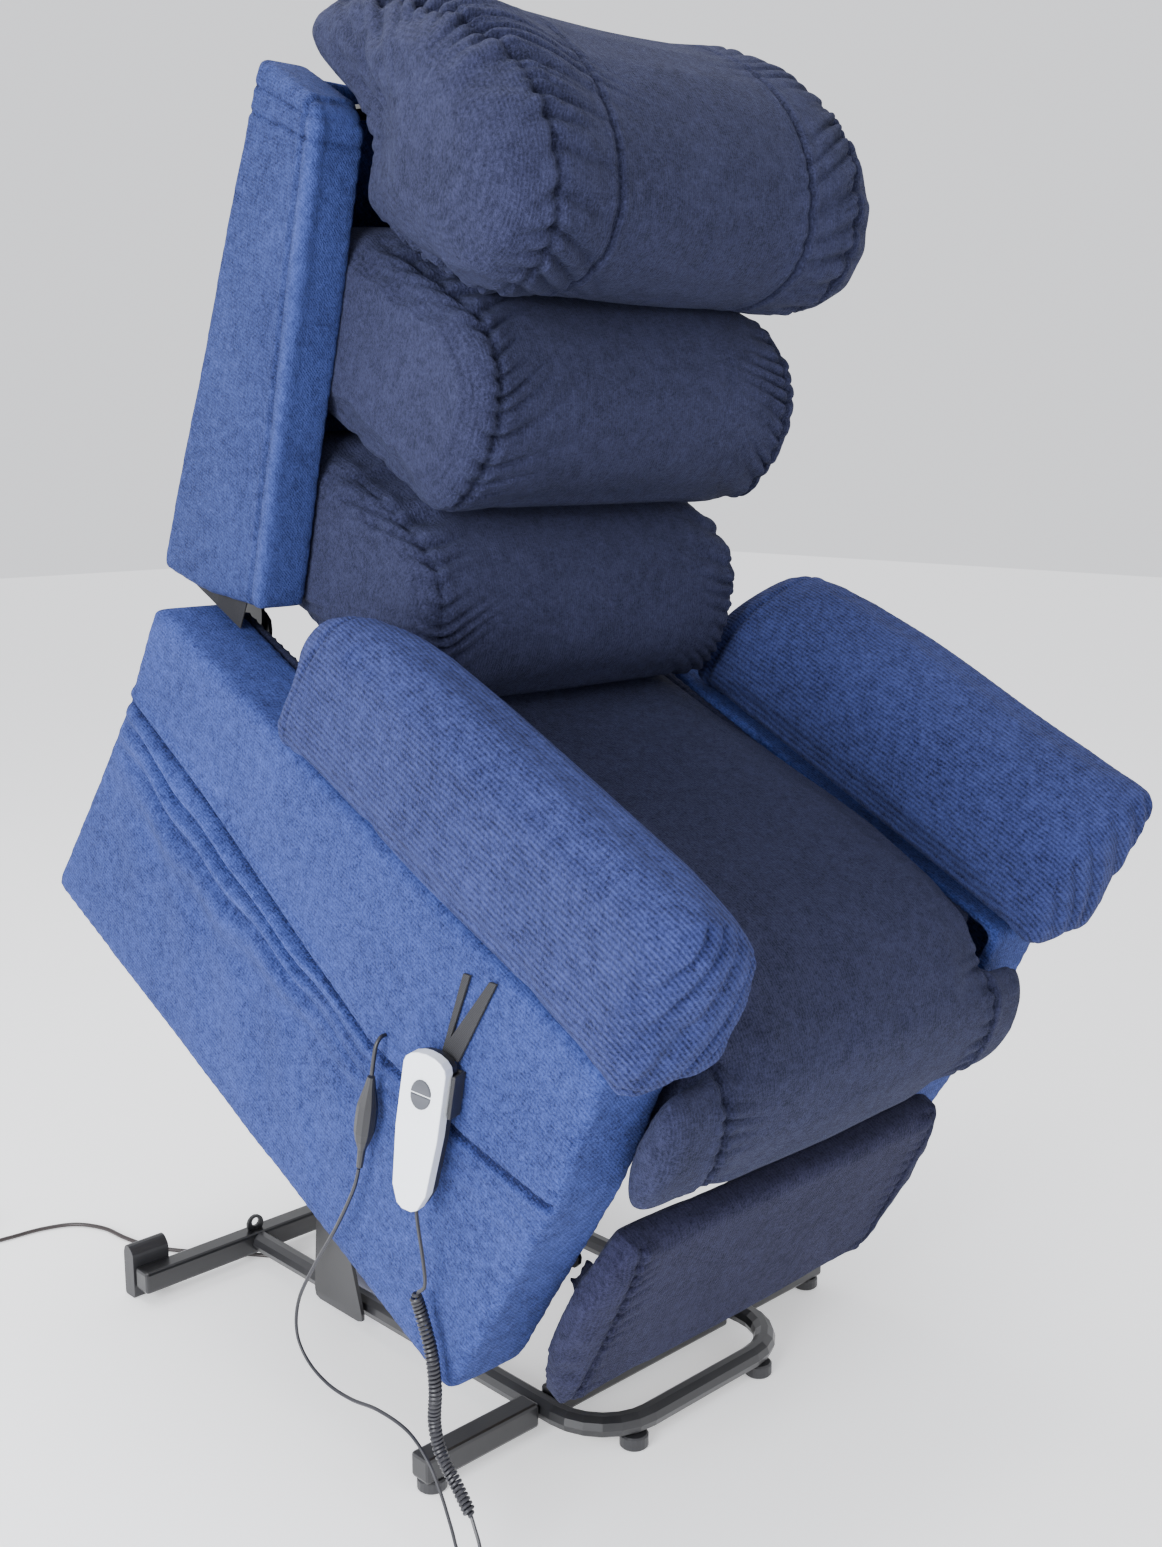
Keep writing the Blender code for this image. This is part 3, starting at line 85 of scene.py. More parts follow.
# ---- the tilted seat's own directions: across x, forward u, up w
seatPlace = {"tilt": math.radians(26.6), "forward": -0.708, "height": 0.561, "frontTubeY": -0.140}
tiltCos, tiltSin = math.cos(seatPlace["tilt"]), math.sin(seatPlace["tilt"])


def toSeat(co):
    forward = seatPlace["frontTubeY"] - co[:, 1] - seatPlace["forward"]
    height = co[:, 2] - seatPlace["height"]
    return co[:, 0].copy(), forward * tiltCos - height * tiltSin, forward * tiltSin + height * tiltCos


def fromSeat(x, u, w):
    x, u, w = np.broadcast_arrays(np.asarray(x, float), np.asarray(u, float), np.asarray(w, float))
    forward = seatPlace["forward"] + u * tiltCos + w * tiltSin
    height = seatPlace["height"] - u * tiltSin + w * tiltCos
    return np.stack([x, seatPlace["frontTubeY"] - forward, height], axis=-1)


# ---- small helpers
def deselectAll():
    for o in bpy.context.view_layer.objects:
        o.select_set(False)


def makeActive(piece):
    deselectAll()
    piece.select_set(True)
    bpy.context.view_layer.objects.active = piece


def applyModifiers(piece):
    makeActive(piece)
    for modifier in list(piece.modifiers):
        bpy.ops.object.modifier_apply(modifier=modifier.name)


def settle(piece):
    makeActive(piece)
    bpy.ops.object.transform_apply(location=True, rotation=True, scale=True)


def readPoints(piece):
    mesh = piece.data
    co = np.empty(len(mesh.vertices) * 3)
    mesh.vertices.foreach_get("co", co)
    no = np.empty(len(mesh.vertices) * 3)
    mesh.vertex_normals.foreach_get("vector", no)
    return co.reshape(-1, 3), no.reshape(-1, 3)


def writePoints(piece, co):
    piece.data.vertices.foreach_set("co", np.ascontiguousarray(co, dtype=np.float32).ravel())
    piece.data.update()


def finishPiece(piece, body, material, replaced=()):
    piece.data.materials.clear()
    piece.data.materials.append(material)
    if replaced:
        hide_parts(*replaced)
    if body:
        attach(piece, body)
    return piece


def smoothRoute(points, step):
    # a smooth line through the points, with a point about every step metres
    ends = [points[0]] + list(points) + [points[-1]]
    ends = [Vector(p) for p in ends]
    line = [ends[1]]
    for i in range(1, len(ends) - 2):
        a, b, c, d = ends[i - 1], ends[i], ends[i + 1], ends[i + 2]
        count = max(2, int((c - b).length / step + 0.5))
        for k in range(1, count + 1):
            t = k / count
            line.append(0.5 * (2 * b + (c - a) * t + (2 * a - 5 * b + 4 * c - d) * t * t
                               + (3 * b - a - 3 * c + d) * t * t * t))
    return line


def routeLength(line):
    return sum((b - a).length for a, b in zip(line, line[1:]))


def tubeAlong(name, line, diameter, sides=2):
    curve = bpy.data.curves.new(name, "CURVE")
    curve.dimensions = "3D"
    curve.bevel_depth = diameter / 2
    curve.bevel_resolution = sides
    curve.use_fill_caps = True
    spline = curve.splines.new("POLY")
    spline.points.add(len(line) - 1)
    for point, place in zip(spline.points, line):
        point.co = (*place, 1.0)
    piece = bpy.data.objects.new(name, curve)
    bpy.context.scene.collection.objects.link(piece)
    makeActive(piece)
    bpy.ops.object.convert(target="MESH")
    piece = bpy.context.view_layer.objects.active
    makeActive(piece)
    bpy.ops.object.mode_set(mode="EDIT")
    bpy.ops.mesh.select_all(action="SELECT")
    bpy.ops.mesh.remove_doubles(threshold=0.00002)
    bpy.ops.mesh.normals_make_consistent(inside=False)
    bpy.ops.object.mode_set(mode="OBJECT")
    bpy.ops.object.shade_smooth_by_angle(angle=math.radians(50))
    return piece


# ---- shader groups
def newGroup(name, inputs, outputs):
    group = bpy.data.node_groups.new(name, "ShaderNodeTree")
    for label, kind, value in inputs:
        socket = group.interface.new_socket(name=label, in_out="INPUT", socket_type="NodeSocket" + kind)
        if value is not None:
            socket.default_value = value
    for label, kind in outputs:
        group.interface.new_socket(name=label, in_out="OUTPUT", socket_type="NodeSocket" + kind)
    return group, group.nodes.new("NodeGroupInput"), group.nodes.new("NodeGroupOutput")


def mathNode(tree, operation, a, b=None, clamp=False):
    node = tree.nodes.new("ShaderNodeMath")
    node.operation = operation
    node.use_clamp = clamp
    for index, value in enumerate((a, b)):
        if value is None:
            continue
        if isinstance(value, (int, float)):
            node.inputs[index].default_value = value
        else:
            tree.links.new(value, node.inputs[index])
    return node.outputs[0]


def mixColour(tree, factor, a, b, blend="MIX"):
    node = tree.nodes.new("ShaderNodeMix")
    node.data_type = "RGBA"
    node.blend_type = blend
    for socket, value in ((node.inputs["Factor"], factor), (node.inputs[6], a), (node.inputs[7], b)):
        if isinstance(value, (int, float)):
            socket.default_value = value
        elif isinstance(value, tuple):
            socket.default_value = (*value, 1.0)
        else:
            tree.links.new(value, socket)
    return node.outputs[2]


def noiseNode(tree, vector, scale, detail=2.0, roughness=0.5):
    node = tree.nodes.new("ShaderNodeTexNoise")
    node.inputs["Scale"].default_value = scale
    node.inputs["Detail"].default_value = detail
    node.inputs["Roughness"].default_value = roughness
    tree.links.new(vector, node.inputs["Vector"])
    return node.outputs["Fac"]


def mapped(tree, vector, scale=(1, 1, 1), turn=(0, 0, 0)):
    node = tree.nodes.new("ShaderNodeMapping")
    node.inputs["Scale"].default_value = scale
    node.inputs["Rotation"].default_value = turn
    tree.links.new(vector, node.inputs["Vector"])
    return node.outputs["Vector"]


def buildChenille():
    # ribbed pile: rows across the Row direction, broken into short bright nubs, over a mottled ground
    group, given, made = newGroup(
        "chenillePile",
        [("Vector", "Vector", None), ("Row", "Vector", (1.0, 0.0, 1.0)), ("Pitch", "Float", 200.0),
         ("Rib", "Float", 0.5), ("Dark", "Color", (0, 0, 0, 1)), ("Light", "Color", (1, 1, 1, 1)),
         ("PaintedLightAndHemMarks", "Float", 0.0)],
        [("Colour", "Color"), ("Height", "Float"), ("Roughness", "Float")])
    vector = given.outputs["Vector"]
    across = group.nodes.new("ShaderNodeVectorMath")
    across.operation = "DOT_PRODUCT"
    group.links.new(vector, across.inputs[0])
    group.links.new(given.outputs["Row"], across.inputs[1])
    wander = noiseNode(group, vector, 42.0, 2.0)
    phase = mathNode(group, "ADD", mathNode(group, "MULTIPLY", across.outputs["Value"], given.outputs["Pitch"]),
                     mathNode(group, "MULTIPLY", wander, 0.7))
    wave = mathNode(group, "SINE", mathNode(group, "MULTIPLY", phase, tau))
    rib = mathNode(group, "MULTIPLY_ADD", wave, 0.5)
    rib.node.inputs[2].default_value = 0.5
    nub = noiseNode(group, vector, 330.0, 3.0, 0.62)
    grit = noiseNode(group, vector, 900.0, 2.0, 0.6)
    patch = noiseNode(group, vector, 9.0, 3.0, 0.55)
    mottle = group.nodes.new("ShaderNodeMapRange")
    mottle.inputs["From Min"].default_value = 0.34
    mottle.inputs["From Max"].default_value = 0.66
    group.links.new(noiseNode(group, vector, 75.0, 4.0, 0.68), mottle.inputs["Value"])
    fleck = mathNode(group, "ADD", mathNode(group, "MULTIPLY", nub, 0.62), mathNode(group, "MULTIPLY", grit, 0.38))
    sharp = group.nodes.new("ShaderNodeMapRange")
    sharp.inputs["From Min"].default_value = 0.40
    sharp.inputs["From Max"].default_value = 0.60
    group.links.new(fleck, sharp.inputs["Value"])
    ribbed = mathNode(group, "MULTIPLY", mathNode(group, "SUBTRACT", rib, 0.5), given.outputs["Rib"])
    height = mathNode(group, "ADD", sharp.outputs["Result"], mathNode(group, "MULTIPLY", ribbed, 1.5))
    tint = mathNode(group, "ADD", mathNode(group, "MULTIPLY", height, 0.48), mathNode(group, "MULTIPLY", patch, 0.40))
    tint = mathNode(group, "ADD", tint, mathNode(group, "MULTIPLY", mottle.outputs["Result"], 0.34))
    # the per-point input adds painted shade and painted highlight, and the pad's hem marks, to the pile tone
    tint = mathNode(group, "ADD", mathNode(group, "SUBTRACT", tint, 0.13), given.outputs["PaintedLightAndHemMarks"], clamp=True)
    group.links.new(mixColour(group, tint, given.outputs["Dark"], given.outputs["Light"]), made.inputs["Colour"])
    group.links.new(height, made.inputs["Height"])
    rough = mathNode(group, "MULTIPLY_ADD", tint, -0.12)
    rough.node.inputs[2].default_value = 0.93
    group.links.new(rough, made.inputs["Roughness"])
    return group


def buildGrain():
    # fine moulded or sprayed grain with a few rubbed places
    group, given, made = newGroup(
        "fineGrain",
        [("Vector", "Vector", None), ("Scale", "Float", 900.0), ("Base", "Color", (0, 0, 0, 1)),
         ("Rubbed", "Color", (1, 1, 1, 1)), ("Wear", "Float", 0.3), ("Rough", "Float", 0.4)],
        [("Colour", "Color"), ("Height", "Float"), ("Roughness", "Float")])
    vector = given.outputs["Vector"]
    grain = group.nodes.new("ShaderNodeTexNoise")
    grain.inputs["Detail"].default_value = 3.0
    group.links.new(vector, grain.inputs["Vector"])
    group.links.new(given.outputs["Scale"], grain.inputs["Scale"])
    smudge = noiseNode(group, vector, 24.0, 4.0, 0.6)
    geometry = group.nodes.new("ShaderNodeNewGeometry")
    edge = group.nodes.new("ShaderNodeMapRange")
    edge.inputs["From Min"].default_value = 0.52
    edge.inputs["From Max"].default_value = 0.60
    group.links.new(geometry.outputs["Pointiness"], edge.inputs["Value"])
    worn = mathNode(group, "MULTIPLY", mathNode(group, "MULTIPLY", edge.outputs["Result"], smudge),
                    given.outputs["Wear"], clamp=True)
    group.links.new(mixColour(group, worn, given.outputs["Base"], given.outputs["Rubbed"]), made.inputs["Colour"])
    group.links.new(grain.outputs["Fac"], made.inputs["Height"])
    rough = mathNode(group, "ADD", given.outputs["Rough"],
                     mathNode(group, "MULTIPLY", mathNode(group, "SUBTRACT", smudge, 0.5), 0.25), clamp=True)
    group.links.new(rough, made.inputs["Roughness"])
    return group


chenillePile = buildChenille()
fineGrain = buildGrain()
print("shader groups made")


def startMaterial(name):
    material = bpy.data.materials.new(name)
    material.use_nodes = True
    tree = material.node_tree
    coordinates = tree.nodes.new("ShaderNodeTexCoord").outputs["Object"]
    return material, tree, tree.nodes["Principled BSDF"], coordinates


def addBump(tree, shader, height, distance, strength=1.0):
    bump = tree.nodes.new("ShaderNodeBump")
    bump.inputs["Strength"].default_value = strength
    bump.inputs["Distance"].default_value = distance
    tree.links.new(height, bump.inputs["Height"])
    tree.links.new(bump.outputs["Normal"], shader.inputs["Normal"])


def fabricMaterial(name, settings):
    material, tree, shader, coordinates = startMaterial(name)
    seatWay = mapped(tree, coordinates, turn=(-seatPlace["tilt"], 0, 0))
    pile = tree.nodes.new("ShaderNodeGroup")
    pile.node_tree = chenillePile
    tree.links.new(seatWay, pile.inputs["Vector"])
    pile.inputs["Row"].default_value = settings["row"]
    pile.inputs["Pitch"].default_value = 1.0 / settings["pitch"]
    pile.inputs["Rib"].default_value = settings["rib"]
    pile.inputs["Dark"].default_value = (*settings["dark"], 1)
    pile.inputs["Light"].default_value = (*settings["light"], 1)
    # reads the per-point painted shade and painted highlight, with the pad's hem marks, from the sculpted pieces
    painted_light_and_hem_marks = tree.nodes.new("ShaderNodeAttribute")
    painted_light_and_hem_marks.attribute_name = "painted_light_and_hem_marks"
    tree.links.new(painted_light_and_hem_marks.outputs["Fac"], pile.inputs["PaintedLightAndHemMarks"])
    tree.links.new(pile.outputs["Colour"], shader.inputs["Base Color"])
    tree.links.new(pile.outputs["Roughness"], shader.inputs["Roughness"])
    shader.inputs["Sheen Weight"].default_value = settings["sheen"]
    shader.inputs["Sheen Roughness"].default_value = 0.45
    shader.inputs["Sheen Tint"].default_value = (0.45, 0.52, 0.85, 1)
    shader.inputs["Specular IOR Level"].default_value = 0.15
    addBump(tree, shader, pile.outputs["Height"], settings["bump"])
    return material


def hardMaterial(name, base, rubbed, rough, metallic=0.0, wear=0.3, scale=900.0, bump=0.00004, coat=0.0):
    material, tree, shader, coordinates = startMaterial(name)
    grain = tree.nodes.new("ShaderNodeGroup")
    grain.node_tree = fineGrain
    tree.links.new(coordinates, grain.inputs["Vector"])
    grain.inputs["Scale"].default_value = scale
    grain.inputs["Base"].default_value = (*base, 1)
    grain.inputs["Rubbed"].default_value = (*rubbed, 1)
    grain.inputs["Wear"].default_value = wear
    grain.inputs["Rough"].default_value = rough
    tree.links.new(grain.outputs["Colour"], shader.inputs["Base Color"])
    tree.links.new(grain.outputs["Roughness"], shader.inputs["Roughness"])
    shader.inputs["Metallic"].default_value = metallic
    shader.inputs["Coat Weight"].default_value = coat
    shader.inputs["Coat Roughness"].default_value = 0.12
    addBump(tree, shader, grain.outputs["Height"], bump)
    return material


# one blue chenille in lit and shaded copies: side is the brightest, pad and wing darker, cushion and low (footrest)
# darkest and greyest; the differences are painted shade for faces that lie in shade
chenilleShadedCopies = {
    "side": {"row": (1.0, 0.0, 1.0), "pitch": 0.0042, "rib": 0.22, "dark": (0.004, 0.008, 0.050),
             "light": (0.054, 0.090, 0.345), "sheen": 0.08, "bump": 0.0012},
    "pad": {"row": (1.0, 0.0, 1.0), "pitch": 0.0060, "rib": 0.55, "dark": (0.004, 0.006, 0.036),
            "light": (0.046, 0.064, 0.230), "sheen": 0.08, "bump": 0.0015},
    "wing": {"row": (1.0, 0.0, 1.0), "pitch": 0.0036, "rib": 0.22, "dark": (0.004, 0.007, 0.038),
             "light": (0.046, 0.072, 0.250), "sheen": 0.06, "bump": 0.0012},
    "cushion": {"row": (1.0, 0.0, 0.0), "pitch": 0.0034, "rib": 0.22, "dark": (0.005, 0.006, 0.019),
                "light": (0.036, 0.040, 0.094), "sheen": 0.06, "bump": 0.0012},
    "low": {"row": (1.0, 0.0, 0.0), "pitch": 0.0045, "rib": 0.25, "dark": (0.004, 0.004, 0.016),
            "light": (0.032, 0.033, 0.080), "sheen": 0.06, "bump": 0.0012},
}
fabrics = {key: fabricMaterial("chenille_" + key, value) for key, value in chenilleShadedCopies.items()}
blackSteel = hardMaterial("black_enamel_steel", (0.005, 0.005, 0.006), (0.05, 0.05, 0.055), 0.34, 0.0, 0.5, 500,
                          0.00006, 0.15)
zincSteel = hardMaterial("zinc_plated_steel", (0.50, 0.50, 0.52), (0.75, 0.75, 0.77), 0.34, 0.9, 0.4, 300)
blackPlastic = hardMaterial("black_moulded_plastic", (0.012, 0.012, 0.014), (0.06, 0.06, 0.065), 0.42, 0.0, 0.4, 1400, 0.0001)
whitePlastic = hardMaterial("white_moulded_plastic", (0.76, 0.79, 0.83), (0.85, 0.87, 0.90), 0.30, 0.0, 0.3, 1800,
                            0.00003, 0.2)
buttonPlastic = hardMaterial("grey_button_plastic", (0.040, 0.044, 0.055), (0.12, 0.12, 0.14), 0.42, 0.0, 0.5, 1500, 0.0001)
casePlastic = hardMaterial("lavender_case_plastic", (0.56, 0.58, 0.76), (0.7, 0.7, 0.85), 0.45, 0.0, 0.3, 1200, 0.0001)
cordRubber = hardMaterial("black_cord_rubber", (0.010, 0.010, 0.014), (0.05, 0.05, 0.06), 0.40, 0.0, 0.3, 1200, 0.00005)
leadRubber = hardMaterial("dark_lead_rubber", (0.020, 0.014, 0.014), (0.06, 0.05, 0.05), 0.45, 0.0, 0.3, 1200, 0.00005)


def webbingMaterial(name, base, pitch, bump):
    material, tree, shader, coordinates = startMaterial(name)
    wave = tree.nodes.new("ShaderNodeTexWave")
    wave.bands_direction = "DIAGONAL"
    wave.inputs["Scale"].default_value = pitch
    wave.inputs["Distortion"].default_value = 1.5
    tree.links.new(coordinates, wave.inputs["Vector"])
    thread = noiseNode(tree, coordinates, 700.0, 3.0)
    mask = mathNode(tree, "MULTIPLY", wave.outputs["Fac"], thread)
    tree.links.new(mixColour(tree, mask, base, tuple(3.2 * c for c in base)), shader.inputs["Base Color"])
    shader.inputs["Roughness"].default_value = 0.85
    addBump(tree, shader, mask, bump)
    return material


def boardMaterial():
    material, tree, shader, coordinates = startMaterial("ply_board")
    long = mapped(tree, coordinates, scale=(2, 30, 30), turn=(-seatPlace["tilt"], 0, 0))
    grain = noiseNode(tree, long, 6.0, 5.0, 0.6)
    tree.links.new(mixColour(tree, grain, (0.30, 0.19, 0.10), (0.60, 0.45, 0.28)), shader.inputs["Base Color"])
    shader.inputs["Roughness"].default_value = 0.75
    addBump(tree, shader, grain, 0.0003)
    return material


webbing = webbingMaterial("black_webbing", (0.010, 0.010, 0.012), 260.0, 0.0004)
lining = webbingMaterial("black_lining_cloth", (0.008, 0.008, 0.010), 420.0, 0.0003)
plyBoard = boardMaterial()
print("materials made")

# ---- cords
handCord = {
    "diameter": 0.0042, "curlRadius": 0.0053, "turnPitch": 0.0046, "pointsPerTurn": 12,
    "lead": [(-0.3985, -0.2115, 0.3780), (-0.3990, -0.2145, 0.3600), (-0.4000, -0.2230, 0.3250),
             (-0.4000, -0.2250, 0.2980), (-0.3990, -0.2100, 0.2830)],
    "curl": [(-0.3990, -0.2100, 0.2830), (-0.3950, -0.2120, 0.2620), (-0.3930, -0.2240, 0.2250),
             (-0.3930, -0.2300, 0.1850), (-0.3930, -0.2280, 0.1450), (-0.3930, -0.2380, 0.1150),
             (-0.3940, -0.2650, 0.0900), (-0.3950, -0.2880, 0.0660)],
    "back": [(-0.3970, -0.2990, 0.0500), (-0.3990, -0.3040, 0.0380), (-0.4060, -0.2980, 0.0290),
             (-0.4100, -0.2840, 0.0330), (-0.4100, -0.2730, 0.0560), (-0.4090, -0.2560, 0.0860),
             (-0.4080, -0.2350, 0.1120), (-0.4060, -0.2000, 0.1290), (-0.4020, -0.1450, 0.1270),
             (-0.4000, -0.0950, 0.1170), (-0.4000, -0.0520, 0.1170), (-0.4000, -0.0150, 0.1300),
             (-0.4000, 0.0040, 0.1560), (-0.4000, -0.0020, 0.1980), (-0.3980, -0.0320, 0.2500),
             (-0.3940, -0.0680, 0.3050), (-0.3900, -0.0950, 0.3550), (-0.3880, -0.1030, 0.3810)],
}


def curledLine(settings):
    # straight lead, then turns about the curl's middle line, then the thin run back
    middle = smoothRoute(settings["lead"] + settings["curl"][1:] + settings["back"][:2], 0.0006)
    leadLength = routeLength([Vector(p) for p in settings["lead"]])
    curlLength = routeLength([Vector(p) for p in settings["curl"]])
    spacing = settings["turnPitch"] / settings["pointsPerTurn"]
    line, travelled, target, side = [], 0.0, 0.0, Vector((1, 0, 0))
    for a, b in zip(middle, middle[1:]):
        span = (b - a).length
        along = (b - a).normalized()
        side = (side - along * side.dot(along)).normalized()
        other = along.cross(side)
        while target <= travelled + span and target < leadLength + curlLength:
            here = a.lerp(b, (target - travelled) / max(span, 1e-9))
            inside = min(1.0, max(0.0, (target - leadLength + 0.004) / 0.010))
            inside *= min(1.0, max(0.0, (leadLength + curlLength - target) / 0.008))
            radius = settings["curlRadius"] * inside * inside * (3 - 2 * inside)
            angle = tau * target / settings["turnPitch"]
            line.append(here + radius * (side * math.cos(angle) + other * math.sin(angle)))
            target += spacing if inside > 0.0 else 0.006
        travelled += span
    return line + smoothRoute(settings["back"], 0.005)


handLine = curledLine(handCord)
handsetCord = tubeAlong("handsetCord", handLine, handCord["diameter"], 1)
finishPiece(handsetCord, "handset_hanger", cordRubber, ("curly_cord", "return_cord"))
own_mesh(handsetCord)

pigtail = {
    "diameter": 0.0045,
    "route": [(-0.3730, -0.1340, 0.5330), (-0.3800, -0.1360, 0.5330), (-0.3860, -0.1360, 0.5260),
              (-0.3880, -0.1340, 0.5120), (-0.3880, -0.1300, 0.4930)],
}
pigtailLine = smoothRoute(pigtail["route"], 0.003)
pigtailCord = tubeAlong("pigtailCord", pigtailLine, pigtail["diameter"], 2)
finishPiece(pigtailCord, "handset_hanger", cordRubber, ("pigtail_cord",))

mainsLead = {
    "diameter": 0.006, "coilCentre": (-0.502, 0.810), "outer": 0.0395, "inner": 0.0268, "layers": (0.0036, 0.0096),
    "turns": 2.7, "plugFace": (-0.4350, 0.8235, 0.0140),
    "route": [(-0.1030, 0.2910, 0.0200), (-0.1040, 0.3080, 0.0150), (-0.1080, 0.3320, 0.0050),
              (-0.1180, 0.3700, 0.0036), (-0.1420, 0.4200, 0.0036), (-0.1820, 0.4750, 0.0036),
              (-0.2250, 0.5250, 0.0036), (-0.2560, 0.5750, 0.0036), (-0.2690, 0.6250, 0.0036),
              (-0.2760, 0.6750, 0.0036), (-0.3000, 0.7160, 0.0036), (-0.3420, 0.7360, 0.0036),
              (-0.3900, 0.7430, 0.0036), (-0.4300, 0.7500, 0.0036), (-0.4680, 0.7640, 0.0036)],
}


def woundLine(settings):
    # flat spiral inwards, up a layer, spiral outwards, then over to the plug
    low, high = settings["layers"]
    points = []
    steps = 16
    count = int(settings["turns"] * steps)
    start = -math.pi / 2
    for i in range(1, 2 * count + 1):
        angle = start - tau * i / steps
        share = i / count if i <= count else (2 * count - i) / count
        radius = settings["outer"] - (settings["outer"] - settings["inner"]) * min(1.0, share)
        rise = min(1.0, max(0.0, (i - count + 4) / 8))
        points.append((settings["coilCentre"][0] + radius * math.cos(angle),
                       settings["coilCentre"][1] + radius * math.sin(angle), low + (high - low) * rise))
    return points, start - tau * 2 * count / steps


woundPoints, lastAngle = woundLine(mainsLead)
coilX, coilY = mainsLead["coilCentre"]
while (lastAngle - math.radians(100)) % tau > math.radians(20):
    lastAngle -= tau / 16
    woundPoints.append((coilX + mainsLead["outer"] * math.cos(lastAngle),
                        coilY + mainsLead["outer"] * math.sin(lastAngle), mainsLead["layers"][1]))
plugX, plugY, plugZ = mainsLead["plugFace"]
tail = [(coilX + 0.022, coilY + 0.0420, 0.0100), (coilX + 0.043, coilY + 0.0370, 0.0120),
        (plugX - 0.0060, plugY + 0.0130, 0.0136), (plugX, plugY, plugZ)]
mainsLine = smoothRoute(mainsLead["route"] + woundPoints + tail, 0.006)
mainsCord = tubeAlong("mainsCord", mainsLine, mainsLead["diameter"], 2)
finishPiece(mainsCord, "base", leadRubber, ("mains_lead", "mains_coil"))
print("cords made: handset", round(routeLength(handLine), 3), "mains", round(routeLength(mainsLine), 3))


# ---- soft goods
softSettings = {"voxel": 0.006, "pressure": 4.0, "frames": 16}


def gauss(distance, width):
    return np.exp(-(distance / width) ** 2)


def ramp(value, low, high):
    t = np.clip((value - low) / (high - low), 0.0, 1.0)
    return t * t * (3 - 2 * t)


def pleat(along, pitch, seed):
    # uneven rounded folds, a little sharper in the valleys
    phase = along / pitch + 0.30 * np.sin(along * 31 + seed) + 0.16 * np.sin(along * 71 + 2.3 * seed)
    wave = np.sin(tau * phase)
    return 0.75 * np.abs(wave) ** 0.8 * np.sign(wave) + 0.25 * np.sin(tau * phase * 2 + seed)


def lumps(x, u, w, size, seed):
    # slow unevenness of stuffing
    a = np.sin(x / size + seed) * np.sin(u / size * 1.3 + 2 * seed) + np.sin(w / size * 1.1 + 3 * seed + x / size * 0.7)
    return 0.5 * a


def softCopy(node, name):
    piece = bpy.data.objects.new(name, nodes[node].data.copy())
    bpy.context.scene.collection.objects.link(piece)
    work = bmesh.new()
    work.from_mesh(piece.data)
    bmesh.ops.remove_doubles(work, verts=work.verts, dist=0.00002)
    bmesh.ops.recalc_face_normals(work, faces=work.faces)
    work.to_mesh(piece.data)
    work.free()
    return piece


def inflate(piece, settings):
    # the padded form swells like a filled cover: shrink, remesh, run as cloth with air inside, cap the travel
    swell = settings.get("swell", 0.0)
    voxel = settings.get("voxel", softSettings["voxel"])
    if swell:
        co, no = readPoints(piece)
        writePoints(piece, co - no * swell)
    remesh = piece.modifiers.new("remesh", "REMESH")
    remesh.mode = "VOXEL"
    remesh.voxel_size = voxel
    applyModifiers(piece)
    if swell:
        start, _ = readPoints(piece)
        cloth = piece.modifiers.new("cover", "CLOTH")
        cloth.settings.quality = 5
        cloth.settings.mass = 0.3
        cloth.settings.use_pressure = True
        cloth.settings.uniform_pressure_force = settings.get("pressure", softSettings["pressure"])
        cloth.settings.effector_weights.gravity = 0.0
        cloth.settings.tension_stiffness = 15
        cloth.settings.compression_stiffness = 15
        cloth.settings.shear_stiffness = 5
        cloth.settings.bending_stiffness = 0.5
        cloth.collision_settings.use_collision = False
        cloth.point_cache.frame_start = 1
        cloth.point_cache.frame_end = softSettings["frames"]
        for step in range(1, softSettings["frames"] + 1):
            bpy.context.scene.frame_set(step)
        view = piece.evaluated_get(bpy.context.evaluated_depsgraph_get())
        blown = np.empty(len(view.data.vertices) * 3)
        view.data.vertices.foreach_get("co", blown)
        blown = blown.reshape(-1, 3)
        piece.modifiers.clear()
        bpy.context.scene.frame_set(1)
        move = blown - start
        size = np.linalg.norm(move, axis=1, keepdims=True)
        cap = settings.get("cap", swell * 1.5)
        writePoints(piece, start + move * np.minimum(1.0, cap / np.maximum(size, 1e-9)))
    smooth = piece.modifiers.new("smooth", "SMOOTH")
    smooth.factor = 0.5
    smooth.iterations = settings.get("smooth", 3)
    if settings.get("divide", 1):
        divide = piece.modifiers.new("divide", "SUBSURF")
        divide.levels = divide.render_levels = 1
    applyModifiers(piece)
    return piece


def sculpt(piece, shape):
    # shape gives how far each point moves along its normal, and how much paler or darker it is painted: painted shade
    # in creases and seams, painted highlight on ridges and piping, plus the pad's hem band and stitches
    co, no = readPoints(piece)
    x, u, w = toSeat(co)
    turned = np.stack([no[:, 0], -no[:, 1] * tiltCos - no[:, 2] * tiltSin, -no[:, 1] * tiltSin + no[:, 2] * tiltCos],
                      axis=1)
    rise, painted_light_and_hem_marks = shape(x, u, w, turned)
    co = co + no * rise[:, None]
    writePoints(piece, co)
    attribute = piece.data.attributes.new("painted_light_and_hem_marks", "FLOAT", "POINT")
    attribute.data.foreach_set("value", np.ascontiguousarray(painted_light_and_hem_marks, dtype=np.float32))
    return piece


def limitSides(piece, half):
    co, _ = readPoints(piece)
    limit = half(toSeat(co)[1]) if callable(half) else half
    co[:, 0] = np.clip(co[:, 0], -limit, limit)
    writePoints(piece, co)


def seatHalf(u):
    # between the arms, then past their front faces
    return 0.2525 + 0.058 * ramp(u, 0.9165, 0.926)


